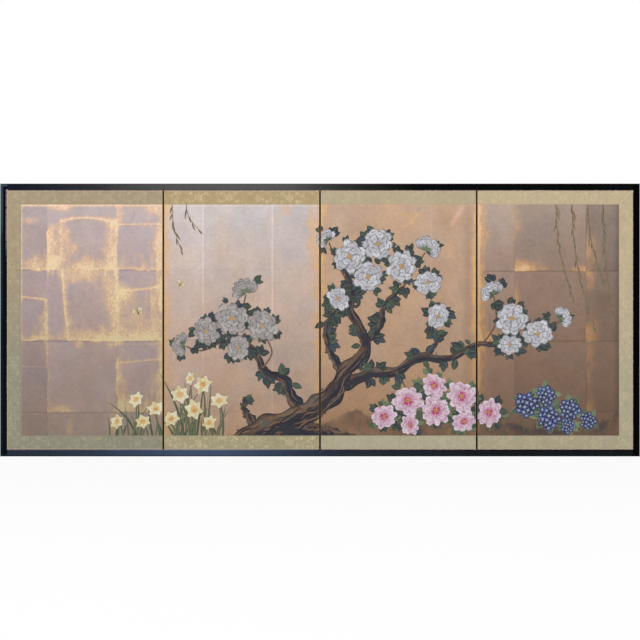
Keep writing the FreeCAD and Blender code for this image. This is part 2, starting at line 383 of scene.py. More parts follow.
leafing = {
    "panel_1": {
        "grain": 1.0,
        "rim": (1.0, 0.80, 0.66),
        "tones": [(195, 180, 181), (182, 162, 161), (162, 142, 137), (148, 129, 117)],
        "gold": [(252, 222, 188), (236, 214, 166), (194, 178, 138)],
        "across": [269.3, 340.2, 411.8],
        "up": [46.8, 117.0],
        "cells": [(0.92, 0.98, 1.0), (0.96, 1.0, 1.01), (0.92, 1.01, 1.02), (0.91, 0.98, 1.0)],
        # the glow along row 204.8 is a painted highlight on the top edge, where the brocade ends
        "glows": [(60.7, 220.3, 72, 217.8, 0, 0.9, 0.95), (72, 217.8, 86, 216.7, 0, 0.8, 0.9),
                  (86, 216.7, 101, 218.4, 0, 0.9, 0.95), (101, 218.4, 117, 222.3, 0, 1.1, 1.0),
                  (117, 222, 117, 269, 1, 4.2, 1.0), (60, 269, 117, 269, -1, 7.5, 0.62),
                  (61, 221, 61, 262, 0, 2.2, 0.5), (46.8, 232, 46.8, 269, -1, 4.5, 0.9),
                  (26, 269, 46.8, 269, -1, 5.5, 0.75), (117, 204, 117, 222, 0, 1.8, 0.5),
                  (118, 223.8, 160, 223.4, 0, 0.7, 0.8), (162.2, 204, 162.2, 300, 1, 5.2, 1.0),
                  (118, 268.5, 160, 268.5, -1, 4.5, 0.5), (21, 296, 47, 299, 0, 0.7, 0.75),
                  (46.8, 300, 46.8, 340, 1, 4, 0.6), (21, 339.6, 47, 339.6, -1, 5, 0.6),
                  (62, 270, 64.3, 301, 0, 0.9, 0.95), (64.3, 301, 67.9, 339, 0, 0.8, 0.85),
                  (63, 270, 67, 339, -1, 2.6, 0.4), (63, 270, 100, 270, 1, 5.5, 0.5),
                  (117, 272, 117, 340, 1, 6, 0.72), (117.4, 270, 117.4, 340, 0, 0.8, 0.8),
                  (68, 339.6, 117, 339.6, -1, 5.5, 0.72), (118, 291, 160, 286.5, 0, 0.8, 0.9),
                  (118, 292, 118, 340, -1, 4, 0.55), (118, 339.6, 160, 339.6, -1, 5, 0.8),
                  (46.8, 341, 46.8, 364, 0, 0.5, 0.4), (21, 366, 46, 366, 0, 0.5, 0.35),
                  (47.5, 345, 47.5, 411, -1, 2, 0.35), (118, 362.5, 160, 358.5, 0, 0.7, 0.65),
                  (117.5, 363, 117.5, 411, -1, 4.5, 0.6), (118, 411, 160, 411, -1, 7, 0.62),
                  (162.2, 300, 162.2, 411, 1, 4.5, 0.75), (21, 413, 45, 413, 0, 0.5, 0.3),
                  (20.5, 204.8, 160.5, 204.8, 0, 0.8, 1.0), (21.2, 204, 21.2, 300, 0, 0.7, 0.8),
                  (21.2, 300, 21.2, 436, 0, 0.6, 0.4), (108, 344, 160, 344, -1, 0.8, 0.3)],
        "patches": [(52, 250, 6, 20, 0.5), (53, 264, 8, 7, 1.1), (40, 264, 10, 9, 0.5),
                    (120.5, 212, 3.4, 10, 0.5), (80, 275, 16, 6, 0.4), (110, 290, 9, 24, 0.4),
                    (120, 294, 12, 9, 0.75), (60, 411, 16, 6, 0.5), (118, 409, 16, 10, 0.6),
                    (114, 424, 6, 16, 0.45), (70, 426, 4, 10, 0.3), (60, 206, 12, 4, 0.6),
                    (30, 219, 9, 4, 0.3), (78.5, 343, 4, 4, 0.4), (66, 236, 4, 12, 0.4),
                    (72, 248, 6, 6, 0.35), (92, 264, 24, 5, 0.25), (112, 258, 5, 14, 0.5),
                    (112, 225, 6, 4, 0.5), (90, 337, 26, 6, 0.6), (140, 337, 24, 7, 0.6),
                    (158, 250, 4, 26, 0.35), (152, 208, 8, 5, 0.35), (142, 318, 22, 22, 0.26)],
        "stains": [(95, 240, 16, 12, 0.03), (30, 280, 12, 12, -0.03), (80, 375, 22, 22, -0.03)],
        "creases": [(21, 269.8, 47, 269.8, 0.6, -0.16), (77, 270, 160, 270, 0.5, -0.16),
                    (21, 340.6, 160, 340.6, 0.6, -0.2), (21, 412, 160, 412, 0.6, -0.14),
                    (117, 342, 117, 411, 0.4, -0.1), (47, 342, 47, 436, 0.4, -0.08),
                    (118, 224.8, 160, 224.4, 0.4, -0.06), (21, 226, 46, 227, 0.5, -0.05),
                    (135, 212, 127, 229, 0.8, -0.07)],
    },
    "panel_2": {
        "grain": 0.6,
        "rim": (0.98, 0.89, 0.78),
        "tones": [(209, 199, 197), (203, 182, 171), (188, 162, 146), (176, 143, 116)],
        "gold": [(232, 194, 150), (222, 180, 130), (206, 172, 116)],
        "across": [269.5, 339.5, 411.0],
        "up": [202.7, 272.4],
        "cells": [(1.02, 0.985, 0.97), (1.015, 0.985, 0.99), (1.0, 0.99, 0.97), (1.0, 1.0, 0.99)],
        # the glow and the last crease along row 205.2 are a painted highlight on the top edge, where the
        # brocade ends
        "glows": [(164.2, 204, 164.2, 436, -1, 3.5, 0.8), (319, 204, 319, 436, 1, 4.5, 0.6),
                  (163, 205.2, 319, 205.2, 0, 0.6, 0.3)],
        "patches": [(166, 210, 6, 5, 0.6), (286, 210, 9, 5, 0.4), (313, 235, 6, 34, 0.5)],
        "stains": [(296, 219, 16, 14, -0.03), (255, 332, 26, 16, -0.07), (200, 250, 20, 30, 0.02),
                   (180, 380, 18, 26, 0.02), (230, 215, 30, 12, 0.02), (258, 360, 26, 12, -0.03)],
        "creases": [(202.8, 204, 202.8, 300, 0.8, 0.11), (202.8, 300, 202.8, 372, 0.7, 0.08),
                    (272.4, 204, 272.4, 330, 0.75, 0.12), (272.4, 330, 272.4, 420, 0.6, 0.08),
                    (165, 339.4, 272, 339.4, 0.7, -0.1), (165, 269.4, 272, 269.4, 0.5, -0.035),
                    (201.6, 204, 201.6, 360, 0.4, -0.05), (165, 411, 240, 411, 0.5, -0.04),
                    (164, 205.2, 319, 205.2, 0.6, 0.12)],
    },
    "panel_3": {
        "grain": 0.5,
        "rim": (0.98, 0.88, 0.78),
        "tones": [(200, 167, 142), (193, 160, 135), (182, 148, 119), (158, 122, 90)],
        "gold": [(240, 202, 144), (226, 182, 118), (196, 152, 92)],
        "across": [269.5, 340.0, 411.0],
        "up": [325.0, 358.8, 431.6],
        "cells": [(1.01, 1.0, 1.0, 0.98), (1.0, 1.0, 1.0, 0.98), (1.0, 1.0, 1.0, 0.97),
                  (1.0, 1.0, 1.0, 0.97)],
        # the glow along row 204.8 is a painted highlight on the top edge, where the brocade ends
        "glows": [(475.8, 204, 475.8, 330, 1, 1.8, 1.0), (475.8, 330, 475.8, 436, 1, 2, 0.7),
                  (396, 232, 400, 262, 0, 1.2, 0.22),
                  (330, 292, 352, 276, 0, 1.4, 0.25), (372, 212, 392, 204, 0, 1.4, 0.22),
                  (360, 270.2, 431, 270.2, 1, 3.5, 0.32), (321, 204, 321, 360, -1, 3.4, 0.6),
                  (410, 222, 424, 208, 0, 0.9, 0.3), (400, 226, 414, 222, 0, 1.0, 0.3),
                  (318, 204.8, 473, 204.8, 0, 0.6, 0.25)],
        "patches": [(405, 215, 14, 6, 0.2), (420, 228, 10, 6, 0.16), (385, 222, 14, 10, 0.12),
                    (345, 250, 10, 16, 0.14), (452, 246, 8, 16, 0.18), (400, 300, 30, 18, 0.14)],
        "stains": [(366, 226, 24, 18, -0.05), (420, 262, 18, 9, -0.06), (446, 222, 12, 12, -0.07),
                   (468, 300, 5, 130, -0.09), (345, 215, 20, 14, 0.02),
                   (340, 300, 16, 30, 0.02)],
        "creases": [(358.8, 204, 358.8, 340, 0.5, -0.03), (431.6, 204, 431.6, 300, 0.6, 0.06),
                    (318, 269.4, 431, 269.4, 0.5, -0.05), (325, 204, 325, 340, 0.5, -0.03),
                    (452, 223, 463, 206, 2.6, 0.12)],
    },
    "panel_4": {
        "grain": 0.5,
        "rim": (0.90, 0.74, 0.58),
        "tones": [(174, 154, 140), (151, 125, 110), (131, 104, 86), (106, 82, 64)],
        "gold": [(246, 206, 162), (222, 182, 130), (182, 146, 98)],
        "across": [270.6, 340.6, 410.8],
        "up": [514.6, 586.0],
        "cells": [(1.05, 0.96, 0.83), (1.07, 0.97, 0.88), (1.09, 1.0, 0.94), (1.02, 1.0, 0.98)],
        "glows": [(477.6, 204, 477.6, 340, -1, 6, 0.72), (477.6, 340, 477.6, 420, -1, 5, 0.7),
                  (478.8, 204, 478.8, 330, 0, 1.1, 0.8), (478.8, 330, 478.8, 430, 0, 1.0, 0.6),
                  (515, 270, 545, 270, -1, 4, 0.4), (514.8, 296, 514.8, 340, -1, 4, 0.4),
                  (587, 204, 587, 270, -1, 3, 0.12), (587, 355, 587, 410, -1, 4.5, 0.25),
                  (514.6, 204, 514.6, 240, 0, 1.2, 0.2)],
        "patches": [(515.4, 269.8, 20, 9, 0.72), (585, 269.8, 14, 5, 0.6), (590, 256, 13, 24, 0.22),
                    (588, 276, 7, 16, 0.32), (515.4, 339.8, 24, 7, 0.75), (515.4, 310, 5, 28, 0.45),
                    (587, 338, 13, 20, 0.4), (587, 345, 9, 24, 0.2), (587, 408, 8, 12, 0.25),
                    (492, 338, 14, 8, 0.4), (516, 225, 7, 18, 0.25)],
        "stains": [(550, 232, 22, 18, -0.05), (604, 300, 10, 16, -0.06), (548, 305, 22, 18, 0.02),
                   (600, 224, 14, 12, -0.03), (500, 225, 10, 16, 0.03)],
        "creases": [(481, 271, 618, 270.2, 0.6, -0.2), (481, 341, 618, 340.4, 0.6, -0.18),
                    (530, 411, 618, 411, 0.5, -0.16), (514.6, 204, 514.6, 410, 0.4, -0.1),
                    (586, 204, 586, 411, 0.4, -0.1), (540, 277.5, 560, 277.5, 0.4, -0.06),
                    (618.5, 204, 618.5, 436, 3.6, -0.16)],
    },
}

leafSheet = {
    "cell": 1.6 * mm,
    "thickness": 0.1 * mm,
    "wander": 1.1,  # how far, in pixels, the edges of the gold wander
    "bigWander": 2.6,
    "thin": 1.3,  # a glow with less reach than this keeps to its line
    "behind": 0.5,  # reach of a glow on its other side
    "mottle": 0.06,
    "hueMottle": 0.042,
    "rows": [204, 280, 360, 436],
    "goldRows": [204, 300, 420],
}

# The brown wash of earth along the bottom: its upper edge, as columns and rows.
earth = {
    "columns": [200, 240, 280, 320, 355, 390, 430, 470, 510, 550, 590, 620],
    "tops": [440, 430, 424, 416, 408, 412, 418, 415, 420, 424, 419, 411],
    "softness": 6.0,
    "fadeIn": (205, 60),  # column where the wash begins, and how many more it takes to reach full strength
    "colour": (128, 96, 70),
    "dark": (70, 54, 48),
    "ridge": (42, 41, 52),
    "strength": 0.86,
    "seed": 900,
}


def smooth(share):
    # the share with a soft start and end
    return share * share * (3 - 2 * share)


def cloud(columns, rows, size, seed):
    # smooth mottling from 0 to 1, with spots of this size in pixels
    knotCount = 160
    knots = np.random.default_rng(seed).random((knotCount, knotCount))
    leftX, topY = (np.floor(np.asarray(place) / size).astype(int) for place in (columns, rows))
    shareX = smooth(np.asarray(columns) / size - leftX)
    shareY = smooth(np.asarray(rows) / size - topY)

    def line(stepY):
        left, right = (knots[(topY + stepY) % knotCount, (leftX + stepX) % knotCount] for stepX in (0, 1))
        return left * (1 - shareX) + right * shareX

    return line(0) * (1 - shareY) + line(1) * shareY


def fromLine(columns, rows, start, end):
    # distance to a line in pixels, and on which side of it the point is
    run = np.subtract(end, start)
    length = max(math.hypot(*run), 1e-6)
    offX = columns - start[0]
    offY = rows - start[1]
    along = np.clip((offX * run[0] + offY * run[1]) / length**2, 0, 1)
    distance = np.hypot(offX - along * run[0], offY - along * run[1])
    side = np.sign(offY * run[0] - offX * run[1])
    return distance, side


def oval(columns, rows, patch):
    # 1 in the middle of an oval, and less outwards
    offX = (columns - patch[0]) / patch[2]
    offY = (rows - patch[1]) / patch[3]
    return np.exp(-((offX**2 + offY**2) ** 1.15))


def wandered(places, columns, rows, seed):
    # columns or rows moved a little, as the edges of the gold wander
    rough = cloud(columns, rows, 3.0, seed) - 0.5
    broad = cloud(columns, rows, 13.0, seed + 1) - 0.5
    return places + leafSheet["wander"] * rough + leafSheet["bigWander"] * broad


def goldShare(columns, rows, looks, seed):
    # how much rubbed gold shows at each point
    movedX = wandered(columns, columns, rows, seed + 1)
    movedY = wandered(rows, columns, rows, seed + 3)
    uneven = 0.55 + 0.9 * cloud(columns, rows, 7.0, seed + 5)
    tongues = 0.35 + 1.3 * cloud(columns * 2.4, rows * 0.9, 7.0, seed + 10)
    plain = np.ones_like(columns)
    for startX, startY, endX, endY, side, reach, strength in looks["glows"]:
        thin = reach < leafSheet["thin"]
        spotX, spotY = (columns, rows) if thin else (movedX, movedY)
        distance, where = fromLine(spotX, spotY, (startX, startY), (endX, endY))
        reaches = np.where(side * where < 0, leafSheet["behind"], reach)
        mask = strength * np.exp(-distance / (reaches if thin else reaches * tongues))
        plain *= 1 - np.clip(mask if thin else mask * uneven, 0, 1)
    for patch in looks["patches"]:
        inside = np.searchsorted(looks["up"], columns) == np.searchsorted(looks["up"], patch[0])
        inside &= np.searchsorted(looks["across"], rows) == np.searchsorted(looks["across"], patch[1])
        plain *= 1 - inside * np.clip(patch[4] * oval(movedX, movedY, patch) * uneven, 0, 1)
    return 1 - plain


def byRow(rows, stops, colours):
    # light values of a colour that changes from row to row
    return lightOf(np.stack([np.interp(rows, stops, shades) for shades in zip(*colours)], 1))


def leafTone(columns, rows, looks, seed):
    # the aged leaf between the gold, as light values
    wavy = 0.35 * (cloud(columns, rows, 9.0, seed + 6) - 0.5)
    cellX = np.searchsorted(looks["up"], columns + wavy)
    cellY = np.searchsorted(looks["across"], rows + wavy)
    factor = np.asarray(looks["cells"])[cellY, cellX] ** 2
    for stain in looks["stains"]:
        factor = factor * (1 + 2 * stain[4] * oval(columns, rows, stain))
    for startX, startY, endX, endY, half, strength in looks["creases"]:
        distance, _ = fromLine(columns, rows + wavy, (startX, startY), (endX, endY))
        factor = factor * (1 + 2 * strength * np.exp(-((distance / half) ** 2)))
    mottle = cloud(columns, rows, 11.0, seed + 7) + 0.6 * cloud(columns, rows, 4.0, seed + 8) - 0.8
    factor = factor * (1 + 2 * leafSheet["mottle"] * mottle)
    hue = leafSheet["hueMottle"] * (cloud(columns, rows, 17.0, seed + 9) - 0.5) * 2
    # tones by row: the leaf's own colour with a painted reflection, lighter towards the top
    colour = byRow(rows, leafSheet["rows"], looks["tones"]) * factor[:, None]
    return colour * np.stack([1 + hue, np.ones_like(hue), 1 - 1.5 * hue], 1)


def withEarth(columns, rows, tone, gold):
    # the leaf's tones and gold under the brown wash, which is dark along its ragged upper edge
    seed = earth["seed"]
    ragged = 8 * (cloud(columns, rows, 12.0, seed) - 0.5) + 4 * (cloud(columns, rows, 4.0, seed + 1) - 0.5)
    below = rows + ragged - np.interp(columns, earth["columns"], earth["tops"])
    begin, run = earth["fadeIn"]
    fade = np.clip((columns - begin) / run, 0, 1) * (0.6 + 0.4 * cloud(columns, rows, 9.0, seed + 4))
    soil = earth["strength"] * smooth(np.clip(below / earth["softness"], 0, 1)) * fade
    broken = np.clip(3 * cloud(columns, rows, 14.0, seed + 2) - 0.9, 0, 0.9)
    ridge = (np.exp(-(((below - 6) / 6) ** 2)) * broken)[:, None]
    deep = 0.6 * cloud(columns, rows, 10.0, seed + 3) + 0.4 * cloud(columns, rows, 3.0, seed + 5)
    deep = deep[:, None]
    soilTone = lightOf(earth["colour"]) * deep + lightOf(earth["dark"]) * (1 - deep)
    soilTone = soilTone * (1 - ridge) + lightOf(earth["ridge"]) * ridge
    return tone * (1 - soil[:, None]) + soilTone * soil[:, None], gold * (1 - 0.8 * soil)


def leafFinish(panel):
    leaf = Finish("agedLeafSquares_" + panel)
    tone = leaf.attribute("tone")
    glint = leaf.attribute("glint")
    gold = leaf.attribute("gold", "Fac")
    fleck = leaf.noise((2.4, 9, 6.5), 4.0, seed=3.0)
    speck = leaf.noise((1.6, 9, 1.6), 3.0, seed=8.0)
    grainy = ((fleck - 0.5) * 2.3 + (speck - 0.5) * 1.3) * leafing[panel]["grain"]
    rubbed = (gold + grainy * (gold * 2.2).least(1.0) * (1 - gold * 0.5)).rise(0.06, 0.9)
    threads = leaf.noise((11, 9, 1.8), 3.0, seed=1.0)
    warp = leaf.noise((1.8, 9, 10), 3.0, seed=5.0)
    blotch = leaf.noise((7, 9, 6), 4.0, seed=12.0)
    cloth = 1 + (threads - 0.5) * 0.18 + (warp - 0.5) * 0.14 + (speck - 0.5) * 0.22 + (blotch - 0.5) * 0.26
    rim = leaf.add("VectorMath", {"operation": "MULTIPLY"}, {0: glint, 1: leafing[panel]["rim"]})
    warmed = leaf.mix(gold.rise(0.0, 0.4) * 0.30 + (fleck - 0.5).most(0) * 0.3, tone, rim)
    rubbedTone = leaf.mix(rubbed.rise(0.35, 1.0), rim, glint)
    return leaf.done(
        colour=leaf.shade(leaf.mix(rubbed * 0.9, warmed, rubbedTone), cloth),
        roughness=0.60 - rubbed * 0.14 + (fleck - 0.5) * 0.12,
        metallic=0.12 + rubbed * 0.25,
        normal=leaf.bump(threads * 0.6 + warp * 0.4 + fleck * 0.3, 0.12, 0.35),
    )


def paintLeaf(mesh, looks, seed):
    # the colours of the leaf at each point of the sheet
    places = np.zeros(len(mesh.vertices) * 3, np.float32)
    mesh.vertices.foreach_get("co", places)
    places = places.reshape(-1, 3)
    columns = places[:, 0] / pixel + photo["middleAcross"]
    rows = photo["floorLine"] - places[:, 2] / pixel
    tone = leafTone(columns, rows, looks, seed)
    tone, gold = withEarth(columns, rows, tone, goldShare(columns, rows, looks, seed))
    # the gold by row: its own colour with a painted reflection, lighter towards the top
    glint = byRow(rows, leafSheet["goldRows"], looks["gold"])
    for name, colour in (("tone", tone), ("glint", glint)):
        layer = mesh.attributes.new(name, "FLOAT_COLOR", "POINT")
        full = np.concatenate([colour, np.ones((len(colour), 1))], 1)
        layer.data.foreach_set("color", full.astype(np.float32).ravel())
    layer = mesh.attributes.new("gold", "FLOAT", "POINT")
    layer.data.foreach_set("value", gold.astype(np.float32))


def makeLeafSheet(panel, material, seed):
    board = boards[panel]
    width = board["right"] - board["left"]
    height = board["high"] - board["low"]
    middleX = (board["left"] + board["right"]) / 2
    middleZ = (board["low"] + board["high"]) / 2
    toBack = Vector((0, leafSheet["thickness"], 0))
    bm = bmesh.new()
    squares = [round(side / leafSheet["cell"]) for side in (width, height)]
    bmesh.ops.create_grid(bm, x_segments=squares[0], y_segments=squares[1], size=0.5)
    bmesh.ops.scale(bm, vec=(width, height, 1), verts=bm.verts)
    bmesh.ops.rotate(bm, cent=(0, 0, 0), matrix=Matrix.Rotation(math.pi / 2, 3, "X"), verts=bm.verts)
    bmesh.ops.translate(bm, vec=Vector((middleX, board["front"], middleZ)) - toBack, verts=bm.verts)
    rim = [edge for edge in bm.edges if edge.is_boundary]
    skirt = bmesh.ops.extrude_edge_only(bm, edges=rim)["geom"]
    corners = [item for item in skirt if isinstance(item, bmesh.types.BMVert)]
    bmesh.ops.translate(bm, vec=toBack, verts=corners)
    backRim = [item for item in skirt if isinstance(item, bmesh.types.BMEdge)]
    bmesh.ops.contextual_create(bm, geom=backRim)
    bmesh.ops.recalc_face_normals(bm, faces=bm.faces)
    sheet = newPiece(panel + "_leaf_ground", bm, material, panel)
    paintLeaf(sheet.data, leafing[panel], seed)


for number, panel in enumerate(panelNames, 1):
    makeLeafSheet(panel, leafFinish(panel), 100 * number)
print("stage 3: leaf ground")

# Finishes of the imported pieces. Colours are screen values, and lengths are in millimetres.

# Black lacquer, with painted reflection on the rails and the left stile, and painted shade on the stile's
# inner side
lacquerColoursAndSheen = {
    "top": (7, 7, 10),
    "topLeftPaintedSheen": (12, 18, 36),
    "topPaintedGlare": (60, 59, 59),
    "lowLeftPaintedSheen": (39, 48, 64),
    "lowRight": (18, 21, 25),
    "lowPaintedGlare": (58, 75, 105),
    "lowPaintedEdgeGlint": (120, 128, 144),
    "stileFootPaintedSheen": (12, 28, 38),
    "stile": (24, 42, 54),
    "stileHeadPaintedSheen": (58, 74, 88),
    "stileInsidePaintedShade": (7, 9, 16),
    "rightStile": (0, 0, 0),
    "worn": (150, 138, 140),
    "scratch": (90, 92, 98),
}
# dark brown, painted beside the cracks as their shade
crackShade = (42, 22, 4)


def lacquerFinish():
    looks = lacquerColoursAndSheen
    lacquer = Finish("blackLacquer")
    mix = lacquer.mix
    x, y, z = lacquer.sides()
    halfWidth = screenWidth / 2 / mm
    halfHeight = screenHeight / 2 / mm
    rail = railHeight / mm
    toInner = abs(z - halfHeight) * -1 + (halfHeight - rail)
    toInnerSide = abs(x) * -1 + (halfWidth - rail)
    inner = abs(toInner.least(toInnerSide))
    outer = (abs(z - halfHeight) * -1 + halfHeight).least(abs(x) * -1 + halfWidth)
    low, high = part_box("panel_1_frame_side_stile")
    toFace = abs(y - (low.y + high.y) / 2 / mm) * -1 + (high.y - low.y) / 2 / mm
    smudge = lacquer.noise((90, 30, 40), 3.0)
    fine = lacquer.noise((7, 7, 7), 4.0, seed=2.0)
    scratch = lacquer.noise((2.5, 3, 40), 2.0, seed=4.0)
    onTop = z.rise(halfHeight, halfHeight + 1)
    onSide = abs(x).rise(halfWidth - rail - 1, halfWidth - rail)
    # painted reflection: glare and a navy sheen on the top rail; on the bottom rail a bluish sheen and an
    # inner-edge glint
    glare = x.rise(-800, -200) * (1 - x.rise(-90, 235))
    sheen = x.rise(-640, -260) * (1 - x.rise(-240, 60))
    upper = mix(glare, mix(x.rise(-700, -300), looks["topLeftPaintedSheen"], looks["top"]), looks["topPaintedGlare"])
    lower = mix(x.rise(-160, 420), looks["lowLeftPaintedSheen"], looks["lowRight"])
    lower = mix(sheen, lower, looks["lowPaintedGlare"])
    lower = mix((1 - inner.rise(1.2, 2.4)) * sheen * 0.8, lower, looks["lowPaintedEdgeGlint"])
    # painted reflection up the left stile, lightest near its head, with painted shade on its inner side; the
    # right stile stays black
    stile = mix(z.rise(250, 420), looks["stileFootPaintedSheen"], looks["stile"])
    stile = mix(z.rise(470, 545), stile, looks["stileHeadPaintedSheen"])
    stile = mix(outer.rise(4, 8.5), stile, looks["stileInsidePaintedShade"])
    stile = mix(x.rise(-1, 1), stile, looks["rightStile"])
    # painted shade at the foot of the bottom rail, where it meets the floor
    foot = z.rise(0.3, 4.5)  # darker where the bottom rail meets the floor
    body = mix(onSide, mix(onTop, lower, upper), stile)
    body = lacquer.shade(body, (0.72 + smudge * 0.56) * (0.5 + foot * 0.5))
    shine = 0.11 - x.rise(200, 600) * 0.08 + glare * onTop * 0.55 + (1 - onTop) * sheen * 0.26
    shine = shine * (1 - onSide * 0.97) * foot
    chipped = (fine + smudge * 0.35).rise(0.70, 0.76)
    wornInner = (1 - inner.rise(0.3, 1.3)) * chipped
    wornOuter = (1 - outer.most(toFace).rise(0.4, 1.6)) * (fine + smudge * 0.2).rise(0.66, 0.72)
    onLeft = (x * -1 - (halfWidth - rail - 3)).rise(0, 1)
    # a pale line down the left stile's inner edge near the top, in the same colour as the chips of wear
    line = onLeft * (1 - inner.rise(1.8, 3.4)) * z.rise(430, 500) * fine.rise(0.28, 0.46)
    pale = (wornInner * 0.75).most(wornOuter * 0.4).most(line * 0.85)
    return lacquer.done(
        colour=mix(scratch.rise(0.70, 0.8) * 0.18, mix(pale, body, looks["worn"]), looks["scratch"]),
        roughness=0.20 + smudge * 0.10 + pale * 0.3,
        coat=shine * (1 - pale),
        coatRoughness=0.12,
        specular=0.04,
        normal=lacquer.bump(lacquer.noise((18, 12, 14), 2.0, seed=6.0), 0.12, 0.25),
    )


def crackShadeShare(x):
    # 1 at the boards' edges, where the paper is painted dark as the crack's shade
    dark = 1 - x.toAndFro(crackPitch / 2).rise(1.5, 2.2)
    return dark * (1 - abs(x).rise(600, 620))


brocadeLooks = {
    "pitch": 68.0,  # of the woven sprays along the strip
    "thread": 0.9,
    "figure": (222, 206, 164),
    "selvage": (196, 170, 150),
    "mitre": (214, 200, 176),
    "panel_1": {"top": (167, 151, 123), "low": (147, 144, 124), "figure": 0.24},
    "panel_2": {"top": (180, 158, 116), "low": (170, 161, 127), "figure": 0.66},
    "panel_3": {"top": (184, 168, 138), "low": (181, 174, 147), "figure": 0.20},
    "panel_4": {"top": (193, 174, 141), "low": (175, 166, 138), "figure": 0.34},
}


def brocadeFinish(panel):
    looks = brocadeLooks
    own = brocadeLooks[panel]
    silk = Finish("brocade_" + panel)
    x, _, z = silk.sides()
    halfHeight = screenHeight / 2 / mm
    halfStrip = brocadeWidth / mm / 2
    halfOpening = frameInner / mm - halfHeight - halfStrip
    halfSide = (screenWidth / 2 - railHeight) / mm - halfStrip
    fromTop = abs(z - halfHeight) - halfOpening
    fromSide = abs(x) - halfSide
    beside = fromSide.greater(fromTop)
    along = x * (1 - beside) + z * beside
    over = fromTop * (1 - beside) + fromSide * beside
    pitch = looks["pitch"]
    wobble = (silk.noise((14, 14, 14), 1.0) - 0.5) * 3.0
    u = (along + wobble).toAndFro(pitch / 2)
    petals = (u.arcTangent(over) * 6).cosine()
    reach = (u * u + over * over).root()
    bloom = 1 - abs(reach - 6.2 - petals * 1.7).rise(0.4, 1.6)
    heart = 1 - reach.rise(1.2, 2.4)
    vine = 1 - abs(over - (along * (2 * math.pi / pitch)).sine() * 9).rise(0.3, 1.3)
    leafU = (along + pitch / 4).toAndFro(pitch / 4)
    sprig = 1 - (leafU * leafU * 0.5 + (abs(over) - 9) * (abs(over) - 9)).rise(4, 16)
    flecks = silk.noise((4.5, 3, 7.5), 2.0, seed=15.0).rise(0.55, 0.68)
    figure = bloom.most(heart).most(vine * 0.6).most(sprig * 0.7).most(flecks * 0.8)
    worn = silk.noise((30, 20, 24), 3.0, seed=3.0)
    figure = figure * (worn + 0.15).rise(0.4, 0.75) * own["figure"]
    ground = silk.mix((z / (screenHeight / mm)).rise(0.2, 0.8), own["low"], own["top"])
    grain = silk.noise((1.3, 3, 7.0), 3.0, seed=7.0)
    slub = silk.noise((9, 3, 1.4), 3.0, seed=9.0)
    streaks = silk.noise((7, 3, 70), 2.0, seed=21.0)
    cloth = 1 + (grain - 0.5) * 0.34 + (slub - 0.5) * 0.26 + (worn - 0.5) * 0.16 + (streaks - 0.5) * 0.16
    edge = (halfOpening + halfStrip) - abs(z - halfHeight)
    edge = edge.least((halfSide + halfStrip) - abs(x))
    selvage = 1 - edge.rise(1.6, 2.8)
    mitre = (1 - abs(fromTop - fromSide).rise(0.5, 1.5)) * x.rise(500, 520)
    colour = silk.shade(silk.mix(figure, ground, looks["figure"]), cloth)
    colour = silk.mix(selvage * 0.6, colour, looks["selvage"])
    colour = silk.mix(mitre * 0.5, colour, looks["mitre"])
    # painted shade along the crack
    colour = silk.mix(crackShadeShare(x) * (1 - beside) * 0.8, colour, crackShade)
    turn = 2 * math.pi / looks["thread"]
    threads = (x * turn).sine() * (z * turn).sine()
    return silk.done(
        colour=colour,
        roughness=0.72 - figure * 0.22,
        sheen=0.25,
        sheenRoughness=0.4,
        normal=silk.bump(threads * 0.3 + figure * 1.2 + grain * 0.5, 0.25, 0.5),
    )


leafEdgeLooks = {"low": (150, 122, 82), "high": (214, 176, 116), "worn": 0.62}


def leafEdgeFinish():
    edge = Finish("leafRoundTheEdge")
    x, _, z = edge.sides()
    worn = edge.noise((6, 6, 16), 4.0)
    gold = edge.mix(z.rise(60, 520), leafEdgeLooks["low"], leafEdgeLooks["high"])
    colour = edge.mix(worn.rise(0.35, 0.7), edge.shade(gold, leafEdgeLooks["worn"]), gold)
    # painted shade along the crack
    colour = edge.mix(crackShadeShare(x) * 0.9, colour, crackShade)
    return edge.done(colour=colour, roughness=0.5, metallic=0.2 + worn * 0.15)


# the hinge paper's brown, darkened nearly to black as painted shade of the crack, lighter towards the top
hingeColoursAndShade = {"low": (14, 7, 2), "high": (24, 15, 4)}


def hingeFinish():
    hinge = Finish("hingePaper")
    z = hinge.sides()[2]
    fibres = hinge.noise((2, 2, 14), 4.0)
    blotch = hinge.noise((12, 12, 30), 3.0, seed=2.0)
    warm = hinge.mix(z.rise(80, 560), hingeColoursAndShade["low"], hingeColoursAndShade["high"])
    colour = hinge.shade(warm, 0.7 + fibres * 0.5 + (blotch - 0.5) * 0.5)
    return hinge.done(colour=colour, roughness=0.85, normal=hinge.bump(fibres, 0.15, 0.4))


backLooks = {
    "tile": 46.0,  # side of one unit of the linked circles
    "sheet": 152.5,  # height of one sheet of the paper
    "worn": (74, 88, 80),
    "ground": (96, 104, 90),
    "print": (168, 166, 138),
}


